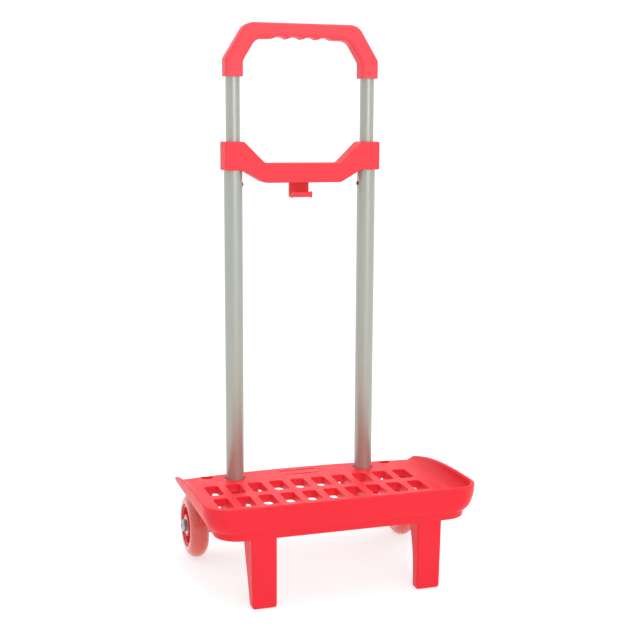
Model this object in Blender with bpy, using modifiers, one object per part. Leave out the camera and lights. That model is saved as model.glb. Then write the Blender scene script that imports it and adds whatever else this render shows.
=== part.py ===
"""Two-wheeled luggage trolley: a moulded tray on two fixed front legs and two rear wheels, with two
upright tubes, a cross bracket with a bag hook, and a handle that slides in the tubes on snap buttons.

Metres, +Z up, front of the tray towards -Y. The origin is on the floor, in the middle of the footprint.
"""
import math

import bmesh
import bpy
from mathutils import Matrix, Vector

# ---------------------------------------------------------------- driving dimensions
GAP = 0.0003                 # clearance kept between pieces that touch or fit together
OVERSHOOT = 0.004            # how far a cutter runs past the face it cuts

DEPTH = 0.232                # front of the tray rim to back of the wheels
RIM_HALF_WIDTH = 0.163       # tray rim, centre line to outside
WALL = 0.003                 # tray walls and deck plate

WHEEL_RADIUS = 0.040
TYRE_WIDTH = 0.024
WHEEL_CLEARANCE = 0.001      # top of the wheel to bottom edge of the tray
WHEEL_INSET = 0.001          # outside of the tyre, in from the side of the skirt

FLARE_SIDE = 0.012           # how far the side walls lean out from skirt to rim
FLARE_FRONT = 0.0035
SKIRT_HEIGHT = 0.008
SKIRT_STEP = 0.0008          # the skirt is set in this far under the flared wall
SKIRT_RISE = 0.0055          # the skirt's lower edge climbs this much towards the back
SKIRT_LEVEL = 0.055          # length of its level part, from the front
DECK_ABOVE_SKIRT = 0.0146    # bottom edge of the tray to top of the deck
RIM_ABOVE_DECK = 0.0240      # at the front
RIM_REAR_ABOVE_DECK = 0.0012
RIM_CURVE = 3.2              # how late the side rims drop towards the back
CORNER_RADIUS = 0.028
REAR_CORNER_RADIUS = 0.006
SCOOP_SIDE = 0.017           # width of the curved scoop between the deck and the side rim
SCOOP_FRONT = 0.010

TUBE_SPACING = 0.170
TUBE_BEHIND_AXLE = 0.0
OUTER_TUBE_RADIUS = 0.011
OUTER_TUBE_WALL = 0.001
INNER_TUBE_RADIUS = 0.0085
INNER_TUBE_WALL = 0.0012
REAR_EDGE_BEHIND_TUBE = 0.0225
REAR_BOW = 0.0095            # how far the rear edge curves forward at its ends

HOLE_COLUMNS = 10
HOLE_ROWS = 3
BAR_BETWEEN_COLUMNS = 0.0102
BAR_BETWEEN_ROWS = 0.0135
HOLE_SIDE_MARGIN = 0.0118    # edge of the flat deck to the first hole
HOLE_BEHIND_TUBE = 0.0265    # tube axis to the first row of holes
HOLE_FRONT_MARGIN = 0.0160   # inside of the front wall's foot to the last row
HOLE_CORNER = 0.004
COLLAR_DEPTH = 0.0098        # height of the stiffening collar round each hole, deck plate included
COLLAR_WALL = 0.0018

SLOT_LENGTH = 0.0475
SLOT_WIDTH = 0.0032
SLOT_OFFSETS = (0.0095, -0.0065)
NOTCH_RADIUS = 0.0078
NOTCH_DEPTH = 0.0100
NOTCH_SHARE = 0.40           # place of the notch between the tube socket and the side wall

SOCKET_WALL = 0.0027
SOCKET_FLOOR = 0.004
SOCKET_BELOW_DECK = 0.0376   # underside of the socket, below the top of the deck
SOCKET_MOUTH = 0.0014        # extra radius of the shallow ring round each tube
AXLE_RADIUS = 0.0039
BOSS_RADIUS = 0.012
BOSS_LENGTH = 0.028
WEB_THICKNESS = 0.0045
RIB_THICKNESS = 0.002
SOCKET_RIB_REACH = 0.030     # rib from each socket towards the middle, from the tube's axis
SOCKET_RIB_DEPTH = 0.0330
SIDE_RIB_DEPTH = 0.0145      # rib along each side of the field of holes, below the deck
WEB_FRONT = 0.028            # reach of the wheel webs before and behind the tube axis
WEB_REAR = 0.0205

LEG_WIDTH = 0.030
LEG_INSET = 0.036            # outside of the leg, in from the side of the skirt
LEG_TAPER = 0.0018           # how far the outer face of the leg leans in, down to the floor
LEG_SOLE_DEPTH = 0.0130
LEG_OUTER_ROOT = 0.042       # depth of the outer flank under the tray
LEG_INNER_ROOT = 0.045
LEG_INNER_CURVE = 3.4

TUBE_IN_VIEW = 0.3824        # deck to bracket
BRACKET_HEIGHT = 0.034
BRACKET_HALF_DEPTH = 0.0133
BRACKET_BESIDE_TUBE = 0.0128 # tube axis to the outer side of the bracket
BRACKET_INSIDE_TUBE = 0.011  # tube axis to where the slanted arms start
BRACKET_CAP = 0.0035         # material over the top of the tube bore
BAR_HALF_LENGTH = 0.048      # straight middle part of the bracket
BAR_DROP_TOP = 0.0255        # top of the end blocks to top of the middle bar
BAR_DROP_BOTTOM = 0.0150     # bottom of the end blocks to bottom of the middle bar
BRACKET_WALL = 0.003
BRACKET_ROUNDING = 0.001
BRACKET_SCREW_HEIGHT = 0.0085 # above the underside of the end blocks
HOOK_HALF_WIDTH = 0.012
HOOK_DROP = 0.018
HOOK_OPENING = 0.0115
HOOK_REACH = 0.008           # tip of the hook, in front of the tube plane
HOOK_TAB_BACK = 0.011
HOOK_THICKNESS = 0.004

HANDLE_TRAVEL = 0.076
HANDLE_REST_GAP = 0.0005     # grip to bracket when the handle is pushed right down
GRIP_HEIGHT = 0.0630
GRIP_LEG_WIDTH = 0.022
GRIP_DEPTH = 0.024
GRIP_ROUNDING = 0.005
GRIP_LEG_HEIGHT = 0.021      # straight part of the legs
GRIP_SHOULDER = 0.026        # how far the slanted corners run in
GRIP_BAR_HEIGHT = 0.0192
GRIP_SOCKET_DEPTH = 0.019
FINGER_PITCH = 0.019
FINGER_DEPTH = 0.0036
FINGERS = 4

BUSH_WALL = 0.0009
BUSH_LENGTH = 0.022
BUSH_FLANGE = 0.002
BUTTON_BELOW_BRACKET = 0.017
BUTTON_RADIUS = 0.0024
BUTTON_PROUD = 0.0013        # how far the button stands out of the outer tube
TUBE_BELOW_BUTTON = 0.024    # inner tube left below the button
CLIP_WIDTH = 0.006
CLIP_THICKNESS = 0.0006
CLIP_HEIGHT = 0.030
CLIP_BEND_RADIUS = 0.0022
FOOT_STEM = 0.012
FOOT_COLLAR = 0.010

HUB_WIDTH = 0.022
HUB_RADIUS = 0.026
HUB_WEB = 0.008
BEARING_RADIUS = 0.011
BEARING_BORE = 0.0040
BEARING_WIDTH = 0.007
SPACER_RADIUS = 0.0058
WASHER_RADIUS = 0.0080
WASHER_THICKNESS = 0.0012
BOLT_HEAD_RADIUS = 0.0076
BOLT_HEAD_HEIGHT = 0.0044
NUT_RADIUS = 0.0075
NUT_THICKNESS = 0.0080
SCREW_SHANK = 0.0018
SCREW_HEAD = 0.0036
SCREW_HEAD_HEIGHT = 0.0022

ROUND_STEPS = 40             # facets round the larger turned pieces
SMALL_STEPS = 20             # facets round the small ones

# ---------------------------------------------------------------- places worked out from them
FRONT_Y = -DEPTH / 2
AXLE_Y = DEPTH / 2 - WHEEL_RADIUS
TUBE_Y = AXLE_Y + TUBE_BEHIND_AXLE
TUBE_X = TUBE_SPACING / 2
REAR_Y = TUBE_Y + REAR_EDGE_BEHIND_TUBE
SKIRT_Z = 2 * WHEEL_RADIUS + WHEEL_CLEARANCE
DECK_Z = SKIRT_Z + DECK_ABOVE_SKIRT
RIM_Z = DECK_Z + RIM_ABOVE_DECK
SKIRT_X = RIM_HALF_WIDTH - FLARE_SIDE - SKIRT_STEP
SKIRT_Y = FRONT_Y + FLARE_FRONT + SKIRT_STEP
DECK_X = RIM_HALF_WIDTH - WALL - SCOOP_SIDE
DECK_FRONT_Y = FRONT_Y + WALL + SCOOP_FRONT
WHEEL_X = SKIRT_X - WHEEL_INSET - TYRE_WIDTH / 2
WEB_X = WHEEL_X - HUB_WIDTH / 2 - 2 * GAP - WASHER_THICKNESS
SOCKET_BORE = OUTER_TUBE_RADIUS + GAP
SOCKET_RADIUS = SOCKET_BORE + SOCKET_WALL
SOCKET_Z = DECK_Z - SOCKET_BELOW_DECK
TUBE_FOOT_Z = SOCKET_Z + SOCKET_FLOOR + GAP
BRACKET_Z = DECK_Z + TUBE_IN_VIEW
BRACKET_TOP_Z = BRACKET_Z + BRACKET_HEIGHT
BUSH_TOP_Z = BRACKET_TOP_Z - BRACKET_CAP - GAP
TUBE_TOP_Z = BUSH_TOP_Z - BUSH_FLANGE - GAP
GRIP_Z = BRACKET_TOP_Z + HANDLE_REST_GAP + HANDLE_TRAVEL
BRACKET_SCREW_Z = BRACKET_Z + BRACKET_SCREW_HEIGHT
GRIP_SCREW_Z = GRIP_Z + GRIP_SOCKET_DEPTH / 2
BUTTON_Z = BRACKET_Z - BUTTON_BELOW_BRACKET
INNER_FOOT_Z = BUTTON_Z - TUBE_BELOW_BUTTON
INNER_TOP_Z = GRIP_Z + GRIP_SOCKET_DEPTH - GAP
INNER_BORE = INNER_TUBE_RADIUS - INNER_TUBE_WALL
OUTER_BORE = OUTER_TUBE_RADIUS - OUTER_TUBE_WALL
LEG_X = SKIRT_X - LEG_INSET - LEG_WIDTH / 2
SIDES = {"left": -1, "right": 1}

# ---------------------------------------------------------------- collections and materials
for old_object in list(bpy.data.objects):
    bpy.data.objects.remove(old_object, do_unlink=True)


def new_collection(name):
    collection = bpy.data.collections.new(name)
    bpy.context.scene.collection.children.link(collection)
    return collection


TROLLEY = new_collection("luggage trolley")
CUTTERS = new_collection("cutters")


def material(name, colour, roughness, metallic=0.0):
    finish = bpy.data.materials.new(name)
    finish.use_nodes = True
    shader = finish.node_tree.nodes["Principled BSDF"]
    shader.inputs["Base Color"].default_value = (*colour, 1.0)
    shader.inputs["Roughness"].default_value = roughness
    shader.inputs["Metallic"].default_value = metallic
    return finish


CORAL_PLASTIC = material("coral polypropylene", (1.0, 0.062, 0.082), 0.45)
SATIN_TUBE = material("satin champagne aluminium", (0.43, 0.42, 0.37), 0.35, 0.9)
BLACK_PLASTIC = material("black nylon", (0.02, 0.02, 0.02), 0.5)
BLACK_SPRING = material("blackened spring steel", (0.03, 0.03, 0.03), 0.4, 0.8)
RED_CORE = material("red wheel core", (0.65, 0.03, 0.04), 0.4)
CLEAR_TYRE = material("translucent amber polyurethane", (0.75, 0.35, 0.2), 0.25)
ZINC = material("zinc plated steel", (0.6, 0.6, 0.6), 0.3, 1.0)
BEARING_STEEL = material("bearing steel", (0.5, 0.5, 0.52), 0.25, 1.0)


# ---------------------------------------------------------------- shaping helpers
def place(name, mesh, finish=None, matrix=None):
    """A part when it has a finish, otherwise a hidden cutter."""
    if matrix is not None:
        mesh.transform(matrix)
    thing = bpy.data.objects.new(name, mesh)
    if finish is None:
        CUTTERS.objects.link(thing)
        thing.hide_render = True
        thing.display_type = "WIRE"
    else:
        TROLLEY.objects.link(thing)
        mesh.materials.clear()
        mesh.materials.append(finish)
    return thing


def mesh_from(name, build):
    work = bmesh.new()
    build(work)
    mesh = bpy.data.meshes.new(name)
    work.to_mesh(mesh)
    work.free()
    return mesh


def block(name, low, high, finish=None):
    """A box between two opposite corners."""
    size = [b - a for a, b in zip(low, high)]
    middle = [(a + b) / 2 for a, b in zip(low, high)]
    scale = Matrix.Diagonal((*size, 1.0))
    mesh = mesh_from(name, lambda work: bmesh.ops.create_cube(
        work, size=1.0, matrix=Matrix.Translation(middle) @ scale))
    return place(name, mesh, finish)


TO_AXIS = {
    "Z": Matrix.Identity(4),
    "X": Matrix.Rotation(math.radians(90), 4, "Y"),
    "Y": Matrix.Rotation(math.radians(-90), 4, "X"),
}


def rod(name, radius, start, end, axis, steps=SMALL_STEPS, finish=None):
    """A cylinder along an axis, given by the centres of its two ends."""
    start, end = Vector(start), Vector(end)
    mesh = mesh_from(name, lambda work: bmesh.ops.create_cone(
        work, cap_ends=True, segments=steps, radius1=radius, radius2=radius,
        depth=(end - start).length, matrix=Matrix.Translation((start + end) / 2) @ TO_AXIS[axis]))
    return place(name, mesh, finish)


def turned(name, profile, finish, matrix, steps, closed=False):
    """A turned piece: radius and height points, down the outer side, spun by a Screw modifier."""
    mesh = bpy.data.meshes.new(name)
    count = len(profile)
    edges = [(i, i + 1) for i in range(count - 1)] + ([(count - 1, 0)] if closed else [])
    mesh.from_pydata([(radius, 0.0, height) for radius, height in profile], edges, [])
    thing = place(name, mesh, finish)
    thing.matrix_world = matrix
    spin = thing.modifiers.new("spin", "SCREW")
    spin.axis = "Z"
    spin.angle = math.tau
    spin.steps = spin.render_steps = steps
    spin.use_merge_vertices = True
    spin.merge_threshold = 0.00001
    spin.use_smooth_shade = True
    return thing


def ring_profile(inner, outer, low, high):
    """The section of a plain sleeve, down its outer side and back up its bore."""
    return [(inner, high), (outer, high), (outer, low), (inner, low)]


def arc(centre, radius, start, end, steps):
    """Points on an arc in a plane, angles in degrees."""
    points = []
    for i in range(steps + 1):
        angle = math.radians(start + (end - start) * i / steps)
        points.append((centre[0] + radius * math.cos(angle), centre[1] + radius * math.sin(angle)))
    return points


def rounded(corners, steps=4):
    """An outline from corners (x, y, radius), with each corner rounded by its radius."""
    points = []
    for i, (x, y, radius) in enumerate(corners):
        here = Vector((x, y))
        before = Vector(corners[i - 1][:2]) - here
        after = Vector(corners[(i + 1) % len(corners)][:2]) - here
        if radius <= 0:
            points.append((x, y))
            continue
        half = before.angle(after) / 2
        reach = min(radius / math.tan(half), 0.48 * before.length, 0.48 * after.length)
        start = here + before.normalized() * reach
        end = here + after.normalized() * reach
        centre = here + (before.normalized() + after.normalized()).normalized() * reach / math.cos(half)
        from_centre, to_centre = start - centre, end - centre
        turn = from_centre.angle_signed(to_centre)
        for k in range(steps + 1):
            spoke = Matrix.Rotation(-turn * k / steps, 2) @ from_centre
            points.append(tuple(centre + spoke))
    return points


FRONT_VIEW = Matrix(((1, 0, 0, 0), (0, 0, -1, 0), (0, 1, 0, 0), (0, 0, 0, 1)))
SIDE_VIEW = Matrix(((0, 0, 1, 0), (1, 0, 0, 0), (0, 1, 0, 0), (0, 0, 0, 1)))


def slab(name, outline, thickness, view=None, shift=(0, 0, 0), finish=None):
    """A flat outline given a thickness: XY by default, XZ in FRONT_VIEW and YZ in SIDE_VIEW."""
    rings = [[(x, y, height) for x, y in outline] for height in (-thickness / 2, thickness / 2)]
    piece = loft(name, rings, finish)
    piece.data.transform(Matrix.Translation(shift) @ (view or Matrix.Identity(4)))
    return piece


def inset_outline(outline, inset):
    """The same outline, moved inwards; it runs anticlockwise."""
    points = [Vector(point) for point in outline]
    moved = []
    for i, here in enumerate(points):
        along = (here - points[i - 1]).normalized()
        onward = (points[(i + 1) % len(points)] - here).normalized()
        inward = (along + onward).orthogonal().normalized()
        lean = max(along.orthogonal().dot(inward), 0.3)
        moved.append(here + inward * inset / lean)
    return moved


def padded(name, outline, thickness, edge, steps, view, shift, finish):
    """A flat outline given a thickness, with its front and back edges rounded over."""
    area = sum(a[0] * b[1] - b[0] * a[1] for a, b in zip(outline, outline[1:] + outline[:1]))
    if area < 0:
        outline = outline[::-1]
    half = []
    for i in range(steps + 1):
        angle = math.radians(90 * i / steps)
        half.append((edge * (1 - math.sin(angle)), thickness / 2 - edge * (1 - math.cos(angle))))
    levels = [(inset, -height) for inset, height in half] + half[::-1]
    rings = [[(x, y, height) for x, y in inset_outline(outline, inset)] for inset, height in levels]
    piece = loft(name, rings, finish)
    piece.data.transform(Matrix.Translation(shift) @ view)
    return piece


def loft(name, rings, finish=None):
    """A closed body through rings of points that all have the same count, lowest ring first."""
    def build(work):
        rows = [[work.verts.new(point) for point in ring] for ring in rings]
        count = len(rows[0])
        for low, high in zip(rows, rows[1:]):
            for i in range(count):
                k = (i + 1) % count
                work.faces.new((low[i], low[k], high[k], high[i]))
        work.faces.new(list(reversed(rows[0])))
        work.faces.new(rows[-1])
        bmesh.ops.recalc_face_normals(work, faces=work.faces)
    return place(name, mesh_from(name, build), finish)


def gather(name, things):
    """Several separate cutters in one object, so that one Boolean handles them."""
    work = bmesh.new()
    for thing in things:
        work.from_mesh(thing.data)
        bpy.data.objects.remove(thing)
    mesh = bpy.data.meshes.new(name)
    work.to_mesh(mesh)
    work.free()
    return place(name, mesh)


def in_triangles(target):
    """Plain triangles before the Booleans, so that every face they cut is truly flat."""
    target.modifiers.new("triangles", "TRIANGULATE")


def combine(target, tool, operation):
    in_triangles(tool)
    step = target.modifiers.new(tool.name, "BOOLEAN")
    step.operation = operation
    step.solver = "EXACT"
    step.object = tool


def cut(target, *tools):
    for tool in tools:
        combine(target, tool, "DIFFERENCE")


def weld(target, *tools):
    for tool in tools:
        combine(target, tool, "UNION")


def settle(thing, location):
    """Apply the modifiers of a piece that was shaped at the origin, then move it to its place."""
    depsgraph = bpy.context.evaluated_depsgraph_get()
    mesh = bpy.data.meshes.new_from_object(thing.evaluated_get(depsgraph))
    thing.modifiers.clear()
    thing.data = mesh
    thing.location = location


# ---------------------------------------------------------------- the tray
def tray_ring(half_width, front_y, radius, z, inset=0.0):
    """Plan of the tray at one height: round front corners, small rear corners, a bowed rear edge."""
    points = arc((-half_width + radius, front_y + radius), radius, 180, 270, 8)
    points += arc((half_width - radius, front_y + radius), radius, 270, 360, 8)
    corner = REAR_CORNER_RADIUS
    bow = REAR_BOW * (half_width / SKIRT_X) ** 2
    side_y = REAR_Y - inset - bow
    points += arc((half_width - corner, side_y - corner), corner, 0, 90, 2)
    reach = half_width - corner
    steps = 8
    for i in range(1, steps):
        x = reach - 2 * reach * i / steps
        points.append((x, REAR_Y - inset - bow * (x / reach) ** 2))
    points += arc((-half_width + corner, side_y - corner), corner, 90, 180, 2)
    return [(x, y, z) for x, y in points]


def tray_hull():
    """The bowl-shaped outside: an upright skirt, a small step, then walls that lean out to the rim."""
    rings = [tray_ring(SKIRT_X, SKIRT_Y, CORNER_RADIUS, z, SKIRT_STEP)
             for z in (SKIRT_Z, SKIRT_Z + SKIRT_HEIGHT)]
    start = SKIRT_Z + SKIRT_HEIGHT
    for i in range(5):
        angle = math.radians(90 * i / 4)
        out = math.sin(angle)
        z = start + (RIM_Z - start) * (1 - math.cos(angle))
        rings.append(tray_ring(SKIRT_X + SKIRT_STEP + FLARE_SIDE * out,
                               SKIRT_Y - SKIRT_STEP - FLARE_FRONT * out, CORNER_RADIUS, z))
    return loft("tray_platform", rings, CORAL_PLASTIC)


def tray_hollow():
    """What is scooped out over the deck: flat floor, then a quarter-round scoop up to the rim."""
    rings = []
    past_rear = 3 * OVERSHOOT
    for i in range(5):
        angle = math.radians(90 * i / 4)
        z = DECK_Z + RIM_ABOVE_DECK * (1 - math.cos(angle))
        ring = tray_ring(DECK_X + SCOOP_SIDE * math.sin(angle),
                         DECK_FRONT_Y - SCOOP_FRONT * math.sin(angle),
                         CORNER_RADIUS - WALL, z, -past_rear)
        rings.append(ring)
    rings.append([(x, y, RIM_Z + OVERSHOOT) for x, y, z in rings[-1]])
    return loft("tray hollow", rings)


def tray_underside():
    """The open underside, one wall thickness in from the skirt."""
    rings = [tray_ring(SKIRT_X - WALL, SKIRT_Y + WALL, CORNER_RADIUS - WALL, z, WALL)
             for z in (SKIRT_Z - OVERSHOOT, DECK_Z - WALL)]
    return loft("tray underside", rings)


def rim_trim():
    """Everything above the rim line, which stays level at the front and drops to the deck at the back."""
    length = REAR_Y - FRONT_Y
    low = RIM_Z - RIM_ABOVE_DECK + RIM_REAR_ABOVE_DECK
    steps = 12
    line = []
    for i in range(steps + 1):
        share = i / steps
        line.append((FRONT_Y + length * share, RIM_Z - (RIM_Z - low) * share ** RIM_CURVE))
    top = RIM_Z + 2 * OVERSHOOT
    outline = line + [(REAR_Y + OVERSHOOT, low), (REAR_Y + OVERSHOOT, top), (FRONT_Y, top)]
    return slab("rim trim", outline, 2 * (RIM_HALF_WIDTH + OVERSHOOT), SIDE_VIEW)


def skirt_trim():
    """Everything under the skirt's lower edge, which climbs towards the back."""
    start = FRONT_Y + SKIRT_LEVEL
    low = SKIRT_Z - OVERSHOOT
    past_rear = REAR_Y + OVERSHOOT
    outline = [(start, SKIRT_Z), (start, low), (past_rear, low), (past_rear, SKIRT_Z + SKIRT_RISE)]
    return slab("skirt trim", outline, 2 * (RIM_HALF_WIDTH + OVERSHOOT), SIDE_VIEW)


def hole_field():
    """Half width, first and last y of the field of holes."""
    return DECK_X - HOLE_SIDE_MARGIN, TUBE_Y - HOLE_BEHIND_TUBE, DECK_FRONT_Y + HOLE_FRONT_MARGIN


def ribs():
    """Ribs under the deck: one along each side of the holes, and one from each socket inwards."""
    half_width, first_y, last_y = hole_field()
    top = DECK_Z - WALL / 2
    made = []
    for side in SIDES.values():
        x = half_width + COLLAR_WALL - GAP
        xs = sorted((side * x, side * (x + RIB_THICKNESS)))
        made.append(block("side rib", (xs[0], last_y, DECK_Z - SIDE_RIB_DEPTH), (xs[1], first_y, top)))
        xs = sorted((side * (TUBE_X - SOCKET_BORE), side * (TUBE_X - SOCKET_RIB_REACH)))
        made.append(block("socket rib", (xs[0], TUBE_Y - RIB_THICKNESS / 2, DECK_Z - SOCKET_RIB_DEPTH),
                          (xs[1], TUBE_Y + RIB_THICKNESS / 2, top)))
    return gather("ribs", made)


def hole_blocks(name, grow, low_z, high_z):
    """One rounded block for each of the deck's holes, grown all round by the same amount."""
    half_width, first_y, last_y = hole_field()
    field_x = 2 * half_width
    field_y = first_y - last_y
    wide = (field_x - (HOLE_COLUMNS - 1) * BAR_BETWEEN_COLUMNS) / HOLE_COLUMNS
    long = (field_y - (HOLE_ROWS - 1) * BAR_BETWEEN_ROWS) / HOLE_ROWS
    blocks = []
    for column in range(HOLE_COLUMNS):
        for row in range(HOLE_ROWS):
            x = -field_x / 2 + wide / 2 + column * (wide + BAR_BETWEEN_COLUMNS)
            y = first_y - long / 2 - row * (long + BAR_BETWEEN_ROWS)
            a, b = wide / 2 + grow, long / 2 + grow
            radius = HOLE_CORNER + grow
            outline = rounded([(x - a, y - b, radius), (x + a, y - b, radius),
                               (x + a, y + b, radius), (x - a, y + b, radius)], 2)
            rings = [[(px, py, z) for px, py in outline] for z in (low_z, high_z)]
            blocks.append(loft(name, rings))
    return gather(name, blocks)


def tray_slots():
    """Two narrow slots between the tubes."""
    slots = []
    for offset in SLOT_OFFSETS:
        a, b, y = SLOT_LENGTH / 2, SLOT_WIDTH / 2, TUBE_Y + offset
        outline = rounded([(-a, y - b, b), (a, y - b, b), (a, y + b, b), (-a, y + b, b)], 3)
        slots.append(loft("slot", [[(px, py, z) for px, py in outline]
                                   for z in (DECK_Z - WALL - OVERSHOOT, DECK_Z + OVERSHOOT)]))
    return gather("slots", slots)


def tray_notches():
    """Half-round openings in the deck beside each tube, against the rear wall."""
    socket_edge = TUBE_X + SOCKET_RADIUS
    x_mid = socket_edge + NOTCH_SHARE * (SKIRT_X - WALL - socket_edge)
    back_y = REAR_Y - REAR_BOW * (x_mid / SKIRT_X) ** 2 - WALL
    notches = []
    for side in SIDES.values():
        outline = [(side * x_mid + px, back_y + py * NOTCH_DEPTH / NOTCH_RADIUS)
                   for px, py in arc((0, 0), NOTCH_RADIUS, 180, 360, 8)]
        notches.append(loft("notch", [[(px, py, z) for px, py in outline]
                                      for z in (DECK_Z - WALL - OVERSHOOT, DECK_Z + OVERSHOOT)]))
    return gather("notches", notches)


def flank(name, x_mid, thickness, root, curve):
    """One side of a leg: straight front edge, and a back edge that spreads towards the tray."""
    top = DECK_Z - WALL / 2
    steps = 8
    outline = [(SKIRT_Y, top), (SKIRT_Y, 0.0)]
    for i in range(steps + 1):
        share = i / steps
        depth = LEG_SOLE_DEPTH + (root - LEG_SOLE_DEPTH) * share ** curve
        outline.append((SKIRT_Y + depth, top * share))
    return slab(name, outline, thickness, SIDE_VIEW, (x_mid, 0, 0))


def leg(side):
    """A front leg: a channel that is open at the back, with a sole."""
    top = DECK_Z - WALL / 2
    inner, outer = LEG_X - LEG_WIDTH / 2, LEG_X + LEG_WIDTH / 2
    outline = [(side * inner, 0.0), (side * (outer - LEG_TAPER), 0.0),
               (side * outer, top), (side * inner, top)]
    front = slab("leg front", outline, WALL, FRONT_VIEW, (0, SKIRT_Y + WALL / 2, 0))
    inside = flank("leg inner flank", side * (inner + WALL / 2), WALL, LEG_INNER_ROOT, LEG_INNER_CURVE)
    outside = flank("leg outer flank", side * (outer - WALL / 2 - LEG_TAPER), WALL, LEG_OUTER_ROOT, 1.0)
    sole_x = sorted((side * (inner + WALL / 2), side * (outer - LEG_TAPER - WALL / 2)))
    sole = block("leg sole", (sole_x[0], SKIRT_Y + WALL / 2, 0.0),
                 (sole_x[1], SKIRT_Y + LEG_SOLE_DEPTH, WALL))
    return [front, inside, outside, sole]


def wheel_mount(side):
    """Two webs down to the axle and the boss that joins them, just inside a wheel."""
    top = DECK_Z - WALL / 2
    tools = []
    for x_outer in (WEB_X, WEB_X - BOSS_LENGTH + WEB_THICKNESS):
        low = arc((AXLE_Y, WHEEL_RADIUS), BOSS_RADIUS, 200, 340, 10)
        outline = low + [(TUBE_Y + WEB_REAR, top), (TUBE_Y - WEB_FRONT, top)]
        tools.append(slab("wheel web", outline, WEB_THICKNESS, SIDE_VIEW,
                          (side * (x_outer - WEB_THICKNESS / 2), 0, 0)))
    tools.append(rod("axle boss", BOSS_RADIUS, (side * WEB_X, AXLE_Y, WHEEL_RADIUS),
                     (side * (WEB_X - BOSS_LENGTH), AXLE_Y, WHEEL_RADIUS), "X", 24))
    return tools


def socket(side):
    return rod("tube socket", SOCKET_RADIUS, (side * TUBE_X, TUBE_Y, SOCKET_Z),
               (side * TUBE_X, TUBE_Y, DECK_Z - WALL / 2), "Z", 32)


def tube_bore(side):
    """The blind bore for an upright, with a shallow wider ring at the deck."""
    levels = [(SOCKET_BORE, SOCKET_Z + SOCKET_FLOOR), (SOCKET_BORE, DECK_Z - SOCKET_MOUTH),
              (SOCKET_BORE + SOCKET_MOUTH, DECK_Z - SOCKET_MOUTH),
              (SOCKET_BORE + SOCKET_MOUTH, DECK_Z + OVERSHOOT)]
    rings = [[(x, y, z) for x, y in arc((side * TUBE_X, TUBE_Y), radius, 0, 348.75, 31)]
             for radius, z in levels]
    return loft("tube bore", rings)


def socket_screw_z():
    """The socket screws go in just below the skirt, where a driver reaches them."""
    return SKIRT_Z - 0.008


def platform():
    tray = tray_hull()
    in_triangles(tray)
    cut(tray, skirt_trim(), tray_underside(), tray_hollow(), rim_trim())
    weld(tray, hole_blocks("collars", COLLAR_WALL, DECK_Z - COLLAR_DEPTH, DECK_Z - WALL / 2), ribs())
    for side in SIDES.values():
        weld(tray, socket(side), *wheel_mount(side), *leg(side))
    cut(tray, gather("deck openings", [hole_blocks("holes", 0.0, DECK_Z - COLLAR_DEPTH - OVERSHOOT,
                                                   DECK_Z + OVERSHOOT), tray_slots(), tray_notches()]))
    bores = []
    screw_holes = []
    for side in SIDES.values():
        bores.append(tube_bore(side))
        bores.append(rod("axle bore", AXLE_RADIUS + GAP, (side * (WEB_X + OVERSHOOT), AXLE_Y, WHEEL_RADIUS),
                         (side * (WEB_X - BOSS_LENGTH - OVERSHOOT), AXLE_Y, WHEEL_RADIUS), "X"))
        screw_holes.append(back_hole("socket screw hole", SCREW_SHANK + GAP, side, socket_screw_z(),
                                     SOCKET_RADIUS + OVERSHOOT))
    cut(tray, gather("bores", bores), gather("screw holes", screw_holes))
    return tray


# ---------------------------------------------------------------- the upright tubes
def sleeve(name, finish, bore, radius, low, high, x, y=TUBE_Y, steps=32):
    """A plain upright tube as a closed solid."""
    return turned(name, ring_profile(bore, radius, low, high), finish,
                  Matrix.Translation((x, y, 0)), steps, closed=True)


def side_hole(name, radius, side, z, reach):
    """A cutter for a hole in the inner side of one tube."""
    x = side * TUBE_X
    return rod(name, radius, (x, TUBE_Y, z), (x - side * reach, TUBE_Y, z), "X", 16)


def back_hole(name, radius, side, z, reach, y=TUBE_Y):
    """A cutter for a hole in the back of one tube, or of the piece round it."""
    x = side * TUBE_X
    return rod(name, radius, (x, y, z), (x, y + reach, z), "Y", 12)


def outer_tube(label, side):
    tube = sleeve("outer_tube_" + label, SATIN_TUBE, OUTER_BORE, OUTER_TUBE_RADIUS,
                  TUBE_FOOT_Z, TUBE_TOP_Z, side * TUBE_X)
    reach = OUTER_TUBE_RADIUS + OVERSHOOT
    cut(tube, side_hole("button hole", BUTTON_RADIUS + GAP, side, BUTTON_Z, reach),
        back_hole("bracket screw hole in tube", SCREW_SHANK + GAP, side, BRACKET_SCREW_Z, reach),
        back_hole("socket screw hole in tube", SCREW_SHANK + GAP, side, socket_screw_z(), reach))


def guide_bush(label, side):
    """Nylon bush in the top of the outer tube, with a flange on the tube's end."""
    outer = OUTER_BORE - GAP
    bore = outer - BUSH_WALL
    flange_low = TUBE_TOP_Z + GAP
    flange_high = flange_low + BUSH_FLANGE
    profile = [(bore, flange_high), (OUTER_TUBE_RADIUS, flange_high), (OUTER_TUBE_RADIUS, flange_low),
               (outer, flange_low), (outer, flange_low - BUSH_LENGTH), (bore, flange_low - BUSH_LENGTH)]
    turned("guide_bush_" + label, profile, BLACK_PLASTIC,
           Matrix.Translation((side * TUBE_X, TUBE_Y, 0)), 32, closed=True)


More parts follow.
